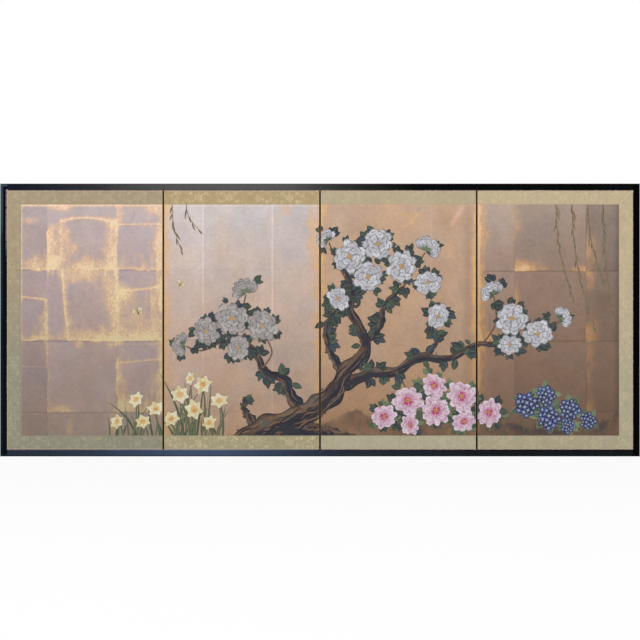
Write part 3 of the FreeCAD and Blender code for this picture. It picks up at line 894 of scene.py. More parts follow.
def backFinish():
    back = Finish("printedBackPaper")
    x, _, z = back.sides()
    tile = backLooks["tile"]
    u = x.toAndFro(tile / 2)
    v = z.toAndFro(tile / 2)

    def ring(centreU, centreV):
        # distance to one of the linked circles, whose centre is a corner of the unit
        offU = u - centreU
        offV = v - centreV
        return abs((offU * offU + offV * offV).root() - tile / math.sqrt(2))

    worn = back.noise((60, 30, 45), 4.0, seed=2.0)
    fibres = back.noise((5, 4, 1.5), 4.0, seed=5.0)
    printed = (1 - ring(tile, 0).least(ring(0, tile)).rise(0.45, 1.0)) * worn.rise(0.28, 0.5)
    flower = 1 - (u * u + v * v).root().rise(1.2, 2.2)
    lap = z.toAndFro(backLooks["sheet"]).rise(0, 1.6)
    base = back.mix(worn, backLooks["worn"], backLooks["ground"])
    colour = back.mix(printed.most(flower) * 0.75, base, backLooks["print"])
    return back.done(
        colour=back.shade(colour, 0.86 + fibres * 0.28 - (1 - lap) * 0.22),
        roughness=0.82 - printed * 0.3,
        normal=back.bump(fibres * 0.4 + printed, 0.1, 0.4),
    )


paperLooks = {"light": (206, 190, 154), "dark": (188, 168, 128)}


def paperFinish():
    paper = Finish("underPaper")
    fibres = paper.noise((6, 6, 6), 5.0)
    blotch = paper.noise((60, 60, 60), 3.0, seed=3.0)
    return paper.done(
        colour=paper.shade(paper.mix(blotch, paperLooks["light"], paperLooks["dark"]), 0.85 + fibres * 0.3),
        roughness=0.9,
        normal=paper.bump(fibres, 0.1, 0.4),
    )


woodLooks = {"early": (206, 168, 116), "late": (168, 122, 76)}


def woodFinish():
    wood = Finish("cedarCore")
    rings = wood.noise((4, 30, 160), 5.0)
    lines = (rings * 40).sine() * 0.5 + 0.5
    pores = wood.noise((1, 1, 12), 3.0, seed=4.0)
    return wood.done(
        colour=wood.shade(wood.mix(lines, woodLooks["early"], woodLooks["late"]), 0.8 + pores * 0.4),
        roughness=0.72,
        normal=wood.bump(pores, 0.1, 0.3),
    )


ironLooks = {"scale": (62, 60, 58), "rust": (104, 66, 42)}


def ironFinish():
    iron = Finish("forgedIron")
    scale = iron.noise((2, 2, 2), 5.0)
    rust = scale.rise(0.52, 0.7)
    return iron.done(
        colour=iron.mix(rust, ironLooks["scale"], ironLooks["rust"]),
        roughness=0.45 + rust * 0.4,
        metallic=0.9 - rust * 0.7,
        normal=iron.bump(scale, 0.1, 0.5),
    )


# The first of these whose words are in a node's name is its finish.
finishes = {
    "frame_nails": ironFinish(),
    "frame": lacquerFinish(),
    "painting": leafEdgeFinish(),
    "hinge": hingeFinish(),
    "back_paper": backFinish(),
    "underpaper": paperFinish(),
    "core": woodFinish(),
}
finishes["lattice"] = finishes["core"]
for panel in panelNames:
    finishes[panel + "_brocade_border"] = brocadeFinish(panel)

for name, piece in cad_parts.items():
    material = next(made for words, made in finishes.items() if words in name)
    piece.data.materials.clear()
    piece.data.materials.append(material)
for number in range(len(panelNames)):
    makeCrackPapers(number, finishes["hinge"])
print("stage 4: finishes of the packed pieces")

# The painting: tree peonies, hydrangeas and narcissi, in thin layers of paint.
# Columns, rows and sizes are in pixels of the photograph, and turns in degrees anticlockwise from upright.

paint = {
    "step": 0.011 * mm,  # from one layer of paint to the next
    "body": 0.008 * mm,  # thickness of a stroke
    "jog": 1.1,  # strokes of one layer are spread over this many steps
    "ring": 1.2,  # steps from one ring of petals, or row of leaves, to the next
    "leafRow": 1.1,  # the same for sprays of leaves
    "branchRow": 1.15,  # and for branches
    "seed": 11,
    "topRow": 204,  # upper edge of the picture
    "footRow": 440,  # where the lowest plants start, just below it
    "barkLines": 5,  # for each pixel of a branch's half width
    "mossFrom": 4,  # half width of a branch, above which it has moss
    "stamens": 20,
    "florets": 18,
    "narcissusPetals": 6,
    "cupStrokes": 8,
    "grassBlades": 46,
    "grassColumns": (355, 616),
}
# How many steps above the leaf each kind of thing is painted.
layers = {"willow": 1, "branches": 2, "thinLeaves": 3, "butterflies": 3, "swordLeaves": 4,
          "hydrangeaLeaves": 8, "narcissusStems": 10, "stems": 10.5, "sprays": 11, "turnedPeonies": 16,
          "narcissi": 16, "peonies": 17, "hydrangeas": 20}
# How many steps flowers that may overlap lie apart.
overlap = {"peonies": 6, "narcissi": 5.5, "hydrangeas": 1.3}
goldenShare = 0.618034  # spreads the strokes of one layer evenly
goldenAngle = 137.5  # spreads the florets of a hydrangea evenly

tints = {
    "white": [(204, 205, 212), (190, 190, 198), (214, 214, 220), (197, 195, 201)],
    "greyWhite": [(176, 169, 166), (163, 156, 153), (187, 181, 178), (170, 161, 157)],
    "pink": [(224, 200, 217), (210, 184, 205), (230, 210, 223), (216, 190, 210)],
    "pinkHeart": [(206, 118, 164), (196, 96, 150), (214, 140, 180), (202, 108, 158)],
    "cream": [(228, 218, 176), (220, 206, 154), (234, 227, 196)],
    "cup": [(204, 150, 84), (216, 176, 110)],
    "blue": [(22, 37, 92), (30, 49, 116), (17, 28, 76), (44, 66, 130)],
    "yellow": [(200, 158, 78), (186, 140, 66)],
    "deepLeaf": [(48, 58, 56), (40, 48, 62), (58, 70, 60), (42, 50, 50), (52, 62, 76), (66, 84, 66)],
    "freshLeaf": [(74, 94, 68), (96, 116, 84), (62, 80, 62), (112, 128, 96)],
    "sword": [(88, 98, 74), (100, 104, 76), (74, 86, 68), (112, 108, 80)],
    "willowLeaf": [(124, 112, 82), (108, 102, 76), (132, 110, 84)],
    "grass": [(84, 80, 60), (66, 66, 54), (104, 90, 64)],
    "twig": [(118, 86, 62), (104, 78, 60)],
    "bark": [(46, 44, 54), (38, 40, 54)],
    "barkLine": [(30, 29, 38), (36, 34, 42), (128, 100, 76)],
    "moss": [(44, 54, 54), (58, 74, 66)],
    "willowTwig": (120, 90, 66),
    "stem": (104, 108, 78),
    "lowerWing": (216, 204, 174),
    "upperWing": (224, 212, 182),
    "butterfly": (70, 56, 50),
}

brushes = []


class Brush:
    # gathers the flat strokes of one kind of paint, which are then cut at the panels' edges
    def __init__(self, name, material):
        self.name = name
        self.material = material
        self.count = 0
        self.bm = bmesh.new()
        self.map = self.bm.loops.layers.uv.new("map")
        self.tint = self.bm.verts.layers.float_color.new("tint")
        brushes.append(self)

    def stroke(self, counts, shape, tint, level):
        # shape gives the place of a point: u across the stroke, from -1 to 1, and v along it, from 0 to 1
        made = bmesh.ops.create_grid(self.bm, x_segments=counts[0], y_segments=counts[1], size=1)
        self.count += 1
        level += paint["jog"] * (self.count * goldenShare % 1)
        depth = boards["panel_1"]["front"] - leafSheet["thickness"] - level * paint["step"]
        colour = (*lightOf(tint).tolist(), 1.0)
        own = {}
        for vert in made["verts"]:
            u = vert.co.x
            v = (vert.co.y + 1) / 2
            column, row = shape(u, v)
            own[vert] = (u / 2 + 0.5, v)
            vert.co = (across(column), depth, above(row))
            vert[self.tint] = colour
        for face in {face for vert in own for face in vert.link_faces}:
            for loop in face.loops:
                loop[self.map].uv = own[loop.vert]
            face.normal_update()
            if face.normal.y > 0:
                face.normal_flip()

    def lay(self):
        for panel in panelNames:
            board = boards[panel]
            part = self.bm.copy()
            cuts = [((board["left"], 0, 0), (-1, 0, 0)), ((board["right"], 0, 0), (1, 0, 0)),
                    ((0, 0, board["low"]), (0, 0, -1)), ((0, 0, board["high"]), (0, 0, 1))]
            for point, normal in cuts:
                geom = part.verts[:] + part.edges[:] + part.faces[:]
                bmesh.ops.bisect_plane(part, geom=geom, plane_co=point, plane_no=normal, clear_outer=True)
            bmesh.ops.dissolve_degenerate(part, edges=part.edges, dist=1e-6)
            if not part.faces:
                part.free()
                continue
            piece = newPiece(f"{panel}_{self.name}", part, self.material, panel)
            body = piece.modifiers.new("body", "SOLIDIFY")
            body.thickness = paint["body"]
            body.offset = -1
        self.bm.free()


def turnedPoint(centre, turn, x, y):
    # a point x to the right and y up from the centre, turned anticlockwise
    angle = math.radians(turn)
    column = centre[0] + x * math.cos(angle) - y * math.sin(angle)
    row = centre[1] - x * math.sin(angle) - y * math.cos(angle)
    return column, row


def petalShape(flower, turn, reach, wide, ruffle, phase, start, pointed=0.0):
    # broad petal with a ruffled top; flower is centre, own turn and tilt
    centre, ownTurn, tilt = flower
    broadest = 0.68  # share of the length

    def shape(u, v):
        half = wide * (0.26 + 0.74 * math.sin(math.pi / 2 * min(1, v / broadest)))
        half *= 1 - (0.22 + 0.6 * pointed) * max(0, (v - broadest) / (1 - broadest)) ** 2
        top = 1 - 0.20 * u**4 - (0.10 + 0.1 * pointed) * u * u + ruffle * math.cos(7.5 * u + phase)
        y = reach * (start + (1 - start) * v * (1 + (top - 1) * v * v))
        angle = math.radians(turn)
        flatX = half * u * math.cos(angle) - y * math.sin(angle)
        flatY = (half * u * math.sin(angle) + y * math.cos(angle)) * tilt
        return turnedPoint(centre, ownTurn, flatX, flatY)

    return shape


def leafShape(start, turn, length, wide, bend, fullness=0.7):
    # pointed leaf that bends by some degrees towards its tip
    def shape(u, v):
        half = wide * max(0.012, math.sin(math.pi * v**fullness)) ** 0.85
        angle = bend * v
        spine = turnedPoint(start, turn + angle / 2, 0, length * v)
        return turnedPoint(spine, turn + angle, half * u, 0)

    return shape


def smoothPath(points, share):
    # place on a smooth line through the points, with whatever else they carry
    spot = share * (len(points) - 1)
    index = min(int(spot), len(points) - 2)
    t = spot - index
    around = [points[max(0, min(len(points) - 1, index + k))] for k in (-1, 0, 1, 2)]
    before, start, end, after = (np.asarray(point, float) for point in around)
    line = 2 * start + (end - before) * t
    line = line + (2 * before - 5 * start + 4 * end - after) * t**2
    line = line + (3 * start - before - 3 * end + after) * t**3
    return line / 2


def heading(points, share, reach):
    # which way a smooth line runs at a share of its length
    return smoothPath(points, min(1, share + reach))[:2] - smoothPath(points, max(0, share - reach))[:2]


def ribbonShape(points, knobbly=0.0, seed=0.0):
    # a branch or stem along points of column, row and half width
    def shape(u, v):
        column, row, half = smoothPath(points, v)
        run = heading(points, v, 0.01)
        run = run / max(math.hypot(*run), 1e-6)
        wave = math.sin(v * 31 + seed + 2 * u) + 0.7 * math.sin(v * 67 + seed * 3 + u)
        half = half * (1 + knobbly * abs(u) * wave)
        return column - run[1] * half * u, row + run[0] * half * u

    return shape


def petalFinish(name, heart, line, lineShare, fan=7.0, reach=0.7, veinShare=0.34):
    # a drawn line at the rim, a darker heart, and veins that fan out from it
    petal = Finish(name)
    u, v = petal.strokeSides()
    side = u * 2 - 1
    rim = abs(side).rise(0.74, 0.92).most(v.rise(0.86, 0.97))
    fold = (side * fan).cosine() * 0.5 + 0.5
    vein = fold.rise(0.72, 1.0) * (1 - v.rise(0.5, 0.95))
    deep = 1 - v.rise(0.06, reach)
    dabs = petal.noise((3, 3, 3), 3.0)
    worn = petal.noise((9, 9, 9), 4.0, seed=4.0)
    colour = petal.mix(deep * 0.9, petal.attribute("tint"), heart)
    colour = petal.mix(vein * veinShare, colour, heart)
    colour = petal.mix(rim * lineShare, colour, line)
    colour = petal.shade(colour, 0.84 + dabs * 0.2 + (worn - 0.5) * 0.24)
    return petal.done(colour=colour, roughness=0.78 + (dabs - 0.5) * 0.1, normal=petal.bump(dabs, 0.05, 0.3))


def leafPaintFinish(name, line, vein, lineShare):
    # pooled paint with drawn veins and a line at the rim
    leaf = Finish(name)
    u, v = leaf.strokeSides()
    side = abs(u * 2 - 1)
    rim = side.rise(0.78, 0.95)
    rib = 1 - side.rise(0.05, 0.16)
    branch = 1 - abs((v * 5.5 - side * 1.6).fraction() - 0.5).rise(0.04, 0.12)
    pooled = leaf.noise((5, 5, 5), 3.0)
    colour = leaf.shade(leaf.attribute("tint"), 0.66 + pooled * 0.66)
    colour = leaf.mix((rib * 0.7).most(branch * 0.35), colour, vein)
    colour = leaf.mix(rim * lineShare, colour, line)
    return leaf.done(colour=colour, roughness=0.74, normal=leaf.bump(pooled, 0.05, 0.3))


barkLooks = {"lit": (104, 78, 60), "ridge": (166, 132, 100), "moss": (84, 92, 94), "edge": (30, 30, 40)}


def barkFinish():
    # ink that is lighter on one side, with streaks, dark edges and moss
    bark = Finish("inkedBark")
    own = bark.add("TexCoord", {}, {}, "UV")
    u = bark.split(own)[0]
    streak = bark.noise((190, 26, 100), 4.0, start=own)
    blot = bark.noise((420, 90, 100), 3.0, start=own, seed=3.0)
    dry = bark.noise((2.2, 9, 2.2), 3.0)
    lit = (1 - u.rise(0.0, 0.9)) * 0.75 + (streak - 0.5) * 0.9 + (blot - 0.5) * 1.1
    colour = bark.mix(lit.rise(0.24, 0.8), bark.attribute("tint"), barkLooks["lit"])
    colour = bark.mix(lit.rise(0.74, 0.95) * 0.4, colour, barkLooks["ridge"])
    colour = bark.mix((blot + dry * 0.25).rise(0.66, 0.76) * 0.5, colour, barkLooks["moss"])
    colour = bark.mix(abs(u * 2 - 1).rise(0.72, 0.98) * 0.7, colour, barkLooks["edge"])
    colour = bark.shade(colour, 0.78 + dry * 0.44)
    return bark.done(colour=colour, roughness=0.8, normal=bark.bump(dry, 0.05, 0.3))


def plainPaintFinish(name):
    # one tint, a little mottled
    plain = Finish(name)
    dry = plain.noise((3, 3, 3), 3.0)
    return plain.done(colour=plain.shade(plain.attribute("tint"), 0.8 + dry * 0.4), roughness=0.8)


chance = random.Random(paint["seed"])
# Petals have the colours of their heart and of the line round them, and leaves of the line and the veins.
whitePetals = petalFinish("whitePeonyPaint", (130, 128, 136), (88, 82, 82), 0.7, 8.0, 0.8, 0.42)
pinkPetals = petalFinish("pinkPeonyPaint", (166, 24, 84), (238, 224, 233), 0.7, 9.0, 1.0, 0.66)
bluePetals = petalFinish("hydrangeaPaint", (176, 186, 206), (22, 34, 84), 0.45, 3.0, 0.4)
creamPetals = petalFinish("narcissusPaint", (206, 160, 98), (238, 232, 208), 0.5, 5.0, 0.5)
wings = petalFinish("butterflyPaint", (206, 170, 110), (62, 66, 92), 0.8, 4.0)
deepLeaves = leafPaintFinish("peonyLeafPaint", (24, 30, 34), (100, 110, 96), 0.75)
freshLeaves = leafPaintFinish("hydrangeaLeafPaint", (176, 186, 158), (140, 156, 124), 0.6)
swordLeaves = leafPaintFinish("swordLeafPaint", (178, 176, 142), (58, 70, 56), 0.45)
whitePaint = Brush("white_peonies", whitePetals)
pinkPaint = Brush("pink_peonies", pinkPetals)
bluePaint = Brush("hydrangeas", bluePetals)
creamPaint = Brush("narcissi", creamPetals)
yellowPaint = Brush("stamens", plainPaintFinish("stamenPaint"))
deepPaint = Brush("peony_leaves", deepLeaves)
freshPaint = Brush("hydrangea_leaves", freshLeaves)
swordPaint = Brush("sword_leaves", swordLeaves)
barkPaint = Brush("old_trunk", barkFinish())
twigPaint = Brush("willow_twigs", plainPaintFinish("twigPaint"))
butterflyPaint = Brush("butterflies", wings)

# Each ring of an open peony: petals, reach and half width as shares of the radius, and ruffle.
peonyRings = [(9, 1.0, 0.34, 0.035), (8, 0.80, 0.30, 0.04), (6, 0.58, 0.25, 0.05), (4, 0.36, 0.19, 0.06)]
# Each ring of a peony seen from its side: petals, reach, half width, and spread in degrees.
sideRings = [(7, 1.0, 0.30, 78), (6, 0.82, 0.30, 58), (4, 0.66, 0.28, 34), (3, 0.5, 0.24, 18)]


def peony(brush, tintName, column, row, radius, turn, tilt, order):
    # an open flower
    level = layers["peonies"] + overlap["peonies"] * (order % 3)
    flower = ((column, row), turn, tilt)
    for index, (count, reach, wide, ruffle) in enumerate(peonyRings):
        heart = tintName == "pink" and index == len(peonyRings) - 1
        ownTints = tints["pinkHeart" if heart else tintName]
        for k in range(count):
            angle = 360 * (k + 0.5 * (index % 2)) / count + chance.uniform(-9, 9)
            long = radius * reach * chance.uniform(0.88, 1.08)
            broad = radius * wide * chance.uniform(0.85, 1.12)
            shape = petalShape(flower, angle, long, broad, ruffle, chance.uniform(0, 6), 0.06)
            brush.stroke((7, 8), shape, chance.choice(ownTints), level + paint["ring"] * index)
    level += paint["ring"] * len(peonyRings)
    for k in range(paint["stamens"]):
        angle = 360 * k / paint["stamens"] + chance.uniform(-8, 8)
        shape = petalShape(flower, angle, radius * chance.uniform(0.13, 0.22), radius * 0.022, 0, 0, 0.2)
        yellowPaint.stroke((1, 2), shape, chance.choice(tints["yellow"]), level)


def turnedPeony(brush, tintName, column, row, radius, turn):
    # a flower seen from its side, with its green cup below
    level = layers["turnedPeonies"]
    flower = ((column, row), turn, 1.0)
    for index, (count, reach, wide, spread) in enumerate(sideRings):
        for k in range(count):
            angle = spread * (2 * k / (count - 1) - 1) + chance.uniform(-6, 6)
            long = radius * reach * chance.uniform(0.92, 1.05)
            shape = petalShape(flower, angle, long, radius * wide, 0.04, chance.uniform(0, 6), 0.02)
            brush.stroke((6, 7), shape, chance.choice(tints[tintName]), level + paint["ring"] * index)
    level += paint["ring"] * len(sideRings)
    for k in range(4):
        lean = k - 1.5
        shape = leafShape((column, row), turn + 55 * lean, radius * 0.42, radius * 0.11, 20 * lean)
        deepPaint.stroke((3, 6), shape, chance.choice(tints["freshLeaf"]), level)


def floret(column, row, radius, turn, level):
    flower = ((column, row), turn, 0.95)
    tint = chance.choice(tints["blue"])
    for k in range(4):
        shape = petalShape(flower, 90 * k + chance.uniform(-6, 6), radius, radius * 0.50, 0.0, 0, 0.05, 0.6)
        bluePaint.stroke((4, 4), shape, tint, level)


def hydrangea(column, row, radius, level):
    florets = paint["florets"]
    for k in range(florets):
        spread = radius * math.sqrt((k + 0.5) / florets) * 0.94
        place = turnedPoint((column, row), goldenAngle * k, 0, spread)
        size = radius * 0.36 * (1.06 - 0.2 * spread / radius) * chance.uniform(0.9, 1.1)
        floret(*place, size, chance.uniform(0, 90), level + (florets - k) * 0.4)


def narcissus(column, row, radius, turn, tilt, level):
    flower = ((column, row), turn, tilt)
    for k in range(paint["narcissusPetals"]):
        angle = 360 * k / paint["narcissusPetals"] + chance.uniform(-7, 7)
        long = radius * chance.uniform(0.9, 1.05)
        shape = petalShape(flower, angle, long, radius * 0.36, 0.02, k, 0.05, 0.25)
        creamPaint.stroke((5, 7), shape, chance.choice(tints["cream"]), level + paint["ring"] * (k % 2))
    for k in range(paint["cupStrokes"]):
        angle = 360 * k / paint["cupStrokes"]
        shape = petalShape(flower, angle, radius * 0.30, radius * 0.14, 0.05, k, 0.0)
        yellowPaint.stroke((2, 3), shape, chance.choice(tints["cup"]), level + 2.6)


def spray(tintName, start, turn, length, wide, order, parts):
    # a leaf of several pointed leaflets
    level = layers["sprays"] + paint["leafRow"] * (order % 3)
    for k in range(parts):
        fromMiddle = k - (parts - 1) / 2
        offset = fromMiddle * chance.uniform(34, 50)
        size = length * (1 - 0.18 * abs(fromMiddle)) * chance.uniform(0.85, 1.1)
        broad = wide * chance.uniform(0.85, 1.2)
        shape = leafShape(start, turn + offset, size, broad, chance.uniform(-30, 30), 0.8)
        deepPaint.stroke((4, 9), shape, chance.choice(tints[tintName]), level + 0.6 * k)


def butterfly(column, row, size, turn):
    level = layers["butterflies"]
    flat = ((column, row), turn, 0.9)
    for sign in (-1, 1):
        upper = petalShape(flat, 52 * sign, size, size * 0.42, 0.03, 1, 0.05)
        lower = petalShape(flat, 118 * sign, size * 0.72, size * 0.32, 0.05, 2, 0.05)
        butterflyPaint.stroke((5, 6), lower, tints["lowerWing"], level)
        butterflyPaint.stroke((5, 6), upper, tints["upperWing"], level + 2)
    tail = turnedPoint((column, row), turn, 0, -size * 0.4)
    body = leafShape(tail, turn, size * 0.85, size * 0.07, 0)
    twigPaint.stroke((2, 5), body, tints["butterfly"], level + 4)


# Branches: column, row and half width along each.
branches = {
    "trunk": [(236, 444, 12), (262, 433, 14), (290, 420, 13), (316, 408, 11), (334, 391, 9.5),
              (346, 371, 7.6), (364, 352, 6.2), (362, 330, 5), (350, 310, 3.8), (353, 290, 2.8),
              (346, 272, 2.0)],
    "leftArm": [(304, 414, 8), (292, 398, 6.4), (284, 380, 5.2), (264, 370, 4.2), (254, 350, 3.2),
                (236, 340, 2.4), (214, 344, 1.4)],
    "rightArm": [(340, 386, 7), (366, 374, 5.8), (394, 371, 5.0), (422, 357, 4.4), (450, 358, 3.6),
                 (476, 344, 3.0), (500, 344, 2.4), (524, 334, 1.4)],
    "upperArm": [(362, 344, 4.4), (380, 326, 3.4), (385, 304, 2.6), (404, 286, 1.6)],
    "stub": [(266, 434, 8), (252, 420, 5), (244, 408, 3), (245, 396, 1.6)],
    "root": [(280, 430, 11), (318, 432, 8), (362, 441, 4)],
    "spur": [(424, 358, 3), (436, 342, 2.2), (434, 324, 1.4)],
    "backArm": [(344, 374, 5), (330, 350, 3.6), (326, 326, 2.4), (338, 306, 1.4)],
}
# From which share of its length a branch has leaves, and how many sprays of them.
leafy = {"trunk": (0.62, 14), "leftArm": (0.25, 15), "rightArm": (0.1, 28), "upperArm": (0.2, 11),
         "backArm": (0.3, 12), "stub": (0.9, 2), "spur": (0.4, 6)}
# Stems between a branch and a flower: three places on each.
stems = [((262, 368), (272, 352), (264, 334)), ((404, 286), (404, 276), (403, 268)),
         ((484, 342), (496, 322), (494, 296)), ((516, 336), (528, 340), (538, 336)),
         ((396, 372), (404, 384), (409, 398)), ((220, 342), (202, 350), (186, 346)),
         ((236, 340), (240, 318), (246, 294)), ((350, 286), (338, 264), (329, 242)),
         ((404, 286), (418, 264), (425, 252)), ((536, 336), (550, 330), (559, 320))]
# Flowers: tint, column, row, radius, turn and, for open ones, tilt.
whitePeonies = [
    ("white", 350, 256, 18, 20, 0.95), ("white", 378, 243, 17.5, 100, 0.9),
    ("white", 368, 276, 17, 200, 0.88), ("white", 402, 266, 17.5, 60, 0.92),
    ("white", 428, 282, 14, 10, 0.86), ("greyWhite", 232, 318, 18, 30, 0.94),
    ("greyWhite", 206, 331, 16, 300, 0.84), ("greyWhite", 262, 325, 17, 140, 0.92),
    ("greyWhite", 238, 347, 14, 80, 0.82), ("white", 512, 318, 17.5, 75, 0.94),
    ("white", 538, 333, 16, 10, 0.86), ("white", 510, 344, 13, 180, 0.8),
    ("white", 438, 316, 14, 250, 0.84), ("white", 338, 298, 13, 120, 0.82),
]
turnedPeonies = [
    ("white", 426, 250, 15, -38), ("greyWhite", 246, 292, 15, 22), ("white", 494, 294, 14, 34),
    ("greyWhite", 184, 344, 12.5, 86), ("white", 560, 318, 12.5, -60), ("white", 328, 240, 12, 48),
]
# The others have one tint for each kind, so that their lines start with the column.
pinkPeonies = [
    (408, 400, 16, 10, 0.94), (436, 410, 16, 70, 0.92), (462, 396, 16.5, 130, 0.92),
    (384, 416, 13.5, 200, 0.86), (489, 412, 14.5, 260, 0.86), (434, 385, 14, 300, 0.84),
    (464, 421, 12.5, 20, 0.82), (410, 424, 11.5, 90, 0.8),
]
hydrangeas = [
    (527, 404, 12), (549, 417, 11.5), (546, 395, 10),
    (570, 409, 10.5), (588, 420, 8.5), (568, 425, 7.5),
]
narcissi = [
    (180, 394, 10, 10, 0.9), (203, 384, 10.5, 40, 0.82), (194, 409, 10.5, 75, 0.9), (156, 408, 9.5, 20, 0.8),
    (136, 399, 9, 50, 0.78), (219, 400, 10, 5, 0.8), (171, 418, 9, 30, 0.84), (117, 421, 8, 60, 0.8),
    (143, 421, 8.5, 15, 0.8), (209, 422, 8.5, 45, 0.8), (190, 378, 7, 80, 0.7),
]
# Willow twigs that hang from above the picture: first column, lowest row, drift to the side.
willow = [(556, 300, 18), (572, 330, 24), (588, 284, 18), (603, 322, 12), (172, 252, 10), (186, 232, 16)]
# Butterflies: column, row, length of a wing and turn.
butterflies = [(138, 312, 7, 25), (180, 284, 5.5, -40)]


def along(points, share):
    # place, half width and direction in degrees of a branch at a share of its length
    column, row, half = smoothPath(points, share)
    run = heading(points, share, 0.02)
    return column, row, half, math.degrees(math.atan2(-run[1], run[0]))


def barkMark(points, number, level, mossy):
    # a dry ink line along the bark and, where asked, a dot of moss at its edge
    first = chance.uniform(0, 0.86)
    reach = chance.uniform(0.05, 0.14)
    side = chance.uniform(-0.75, 0.75)
    line = []
    for step in range(5):
        column, row, half, turn = along(points, first + reach * step / 4)
        off = half * (side + 0.12 * math.sin(1.7 * step + number))
        line.append((*turnedPoint((column, row), turn, 0, off), 0.14 + half * 0.04 * math.sin(step * 0.78)))
    twigPaint.stroke((1, 8), ribbonShape(line), chance.choice(tints["barkLine"]), level + 1.2)
    if mossy:
        column, row, half, turn = along(points, chance.uniform(0, 0.8))
        start = turnedPoint((column, row), turn, 0, half * chance.choice([-0.95, 0.95]))
        dot = leafShape(start, turn + chance.uniform(-60, 60), chance.uniform(1.4, 2.8), 0.8, 0)
        twigPaint.stroke((2, 4), dot, chance.choice(tints["moss"]), level + 1.3)


def drawBranches():
    for number, points in enumerate(branches.values()):
        level = layers["branches"] + paint["branchRow"] * (len(branches) - 1 - number)
        barkPaint.stroke((6, 90), ribbonShape(points, 0.17, number * 1.7), tints["bark"][number % 2], level)
        broad = max(half for _, _, half in points)
        for k in range(int(broad * paint["barkLines"])):
            barkMark(points, k, level, k % 3 == 0 and broad > paint["mossFrom"])
    for points in stems:
        path = [(column, row, 0.9 - 0.1 * k) for k, (column, row) in enumerate(points)]
        twigPaint.stroke((2, 14), ribbonShape(path), chance.choice(tints["twig"]), layers["stems"])


def leavesAround(flower, count, names):
    # sprays that stand out from behind a flower
    column, row, radius = flower
    for k in range(count):
        angle = 360 * (k + chance.uniform(0, 0.8)) / count
        start = turnedPoint((column, row), angle, 0, radius * chance.uniform(0.55, 0.95))
        long = chance.uniform(7, 11.5)
        name = chance.choice(names)
        turn = angle + chance.uniform(-45, 45)
        spray(name, start, turn, long, long * 0.28, k, chance.choice([2, 3, 3]))


def drawLeaves():
    for flower in whitePeonies:
        leavesAround(flower[1:4], 7, ["deepLeaf"])
    for flower in turnedPeonies:
        leavesAround(flower[1:4], 3, ["deepLeaf"])
    for flower in pinkPeonies:
        leavesAround(flower[:3], 7, ["deepLeaf", "freshLeaf", "freshLeaf"])
    for name, (first, count) in leafy.items():
        for k in range(count):
            column, row, half, turn = along(branches[name], first + (1 - first) * chance.random())
            turn += 90 * chance.choice([-1, 1]) - 90
            start = turnedPoint((column, row), turn, 0, half * 0.8)
            long = chance.uniform(7.5, 12.5)
            turn += chance.uniform(-40, 40)
            spray("deepLeaf", start, turn, long, long * 0.27, k, chance.choice([1, 3, 3]))


def drawHydrangeas():
    for order, (column, row, radius) in enumerate(hydrangeas):
        for k in range(6):
            angle = 360 * k / 6 + chance.uniform(-25, 25)
            start = turnedPoint((column, row), angle, 0, radius * 0.5)
            long = radius * chance.uniform(0.9, 1.2)
            shape = leafShape(start, angle, long, radius * 0.30, chance.uniform(-35, 35))
            level = layers["hydrangeaLeaves"] + paint["ring"] * (k % 3)
            freshPaint.stroke((5, 9), shape, chance.choice(tints["freshLeaf"]), level)
        hydrangea(column, row, radius, layers["hydrangeas"] + overlap["hydrangeas"] * (order % 2))


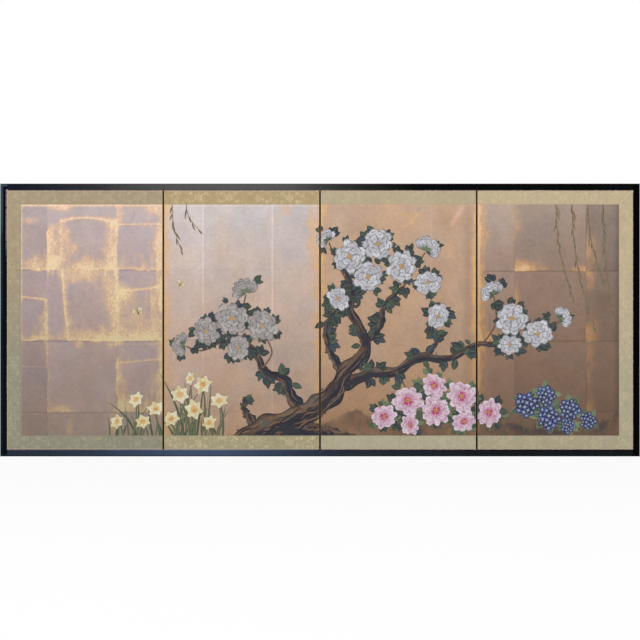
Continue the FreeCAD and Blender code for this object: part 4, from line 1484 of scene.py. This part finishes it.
def drawNarcissi():
    low = paint["footRow"]
    for order, (column, row, radius, turn, tilt) in enumerate(narcissi):
        for k in range(4):
            foot = (column + chance.uniform(-10, 10), low + chance.uniform(-2, 3))
            lean = (foot[0] - column) * 0.9 + chance.uniform(-18, 18)
            length = (foot[1] - row) * chance.uniform(0.6, 1.15) + 8
            shape = leafShape(foot, lean, length, 1.25, chance.uniform(-55, 55), 0.5)
            level = layers["swordLeaves"] + paint["ring"] * k
            swordPaint.stroke((3, 14), shape, chance.choice(tints["sword"]), level)
        foot = (column + chance.uniform(-5, 5), low, 0.7)
        stem = [foot, ((column + foot[0]) / 2 + 2, (row + low) / 2, 0.7), (column, row, 0.6)]
        twigPaint.stroke((2, 14), ribbonShape(stem), tints["stem"], layers["narcissusStems"])
        narcissus(column, row, radius, turn, tilt, layers["narcissi"] + overlap["narcissi"] * (order % 3))


def drawWillow():
    top = paint["topRow"]
    for column, low, drift in willow:
        hang = low - top
        points = [(column, top - 2, 0.42), (column + drift * 0.1, top + hang * 0.33, 0.36),
                  (column + drift * 0.45, top + hang * 0.68, 0.3), (column + drift, low, 0.18)]
        twigPaint.stroke((1, 30), ribbonShape(points), tints["willowTwig"], layers["willow"])
        count = int((hang - 2) / 5.5)
        for k in range(count):
            share = (k + 0.8) / (count + 0.5)
            lean = math.degrees(math.atan2(drift * 1.6 * share, hang))
            side = chance.choice([-1, 1])
            turn = 180 + lean + side * chance.uniform(8, 26)
            length = chance.uniform(8, 13) * (1 - 0.4 * share)
            bend = side * chance.uniform(-34, 6)
            shape = leafShape(smoothPath(points, share)[:2], turn, length, 0.85, bend, 0.85)
            swordPaint.stroke((2, 8), shape, chance.choice(tints["willowLeaf"]), layers["thinLeaves"])


def drawGrass():
    # fine blades low on the bank
    low = paint["footRow"]
    for _ in range(paint["grassBlades"]):
        foot = (chance.uniform(*paint["grassColumns"]), chance.uniform(low - 16, low))
        lean = chance.uniform(-55, 55)
        length = chance.uniform(10, 26)
        shape = leafShape(foot, lean, length, 0.5, chance.uniform(-70, 70), 0.5)
        swordPaint.stroke((2, 10), shape, chance.choice(tints["grass"]), layers["thinLeaves"])


def drawPicture():
    drawBranches()
    drawLeaves()
    for order, (tintName, column, row, radius, turn, tilt) in enumerate(whitePeonies):
        peony(whitePaint, tintName, column, row, radius, turn, tilt, order)
    for tintName, column, row, radius, turn in turnedPeonies:
        turnedPeony(whitePaint, tintName, column, row, radius, turn)
    for order, (column, row, radius, turn, tilt) in enumerate(pinkPeonies):
        peony(pinkPaint, "pink", column, row, radius, turn, tilt, order)
    drawHydrangeas()
    drawNarcissi()
    drawWillow()
    drawGrass()
    for values in butterflies:
        butterfly(*values)


drawPicture()
for brush in brushes:
    brush.lay()
print("stage 5: painting")
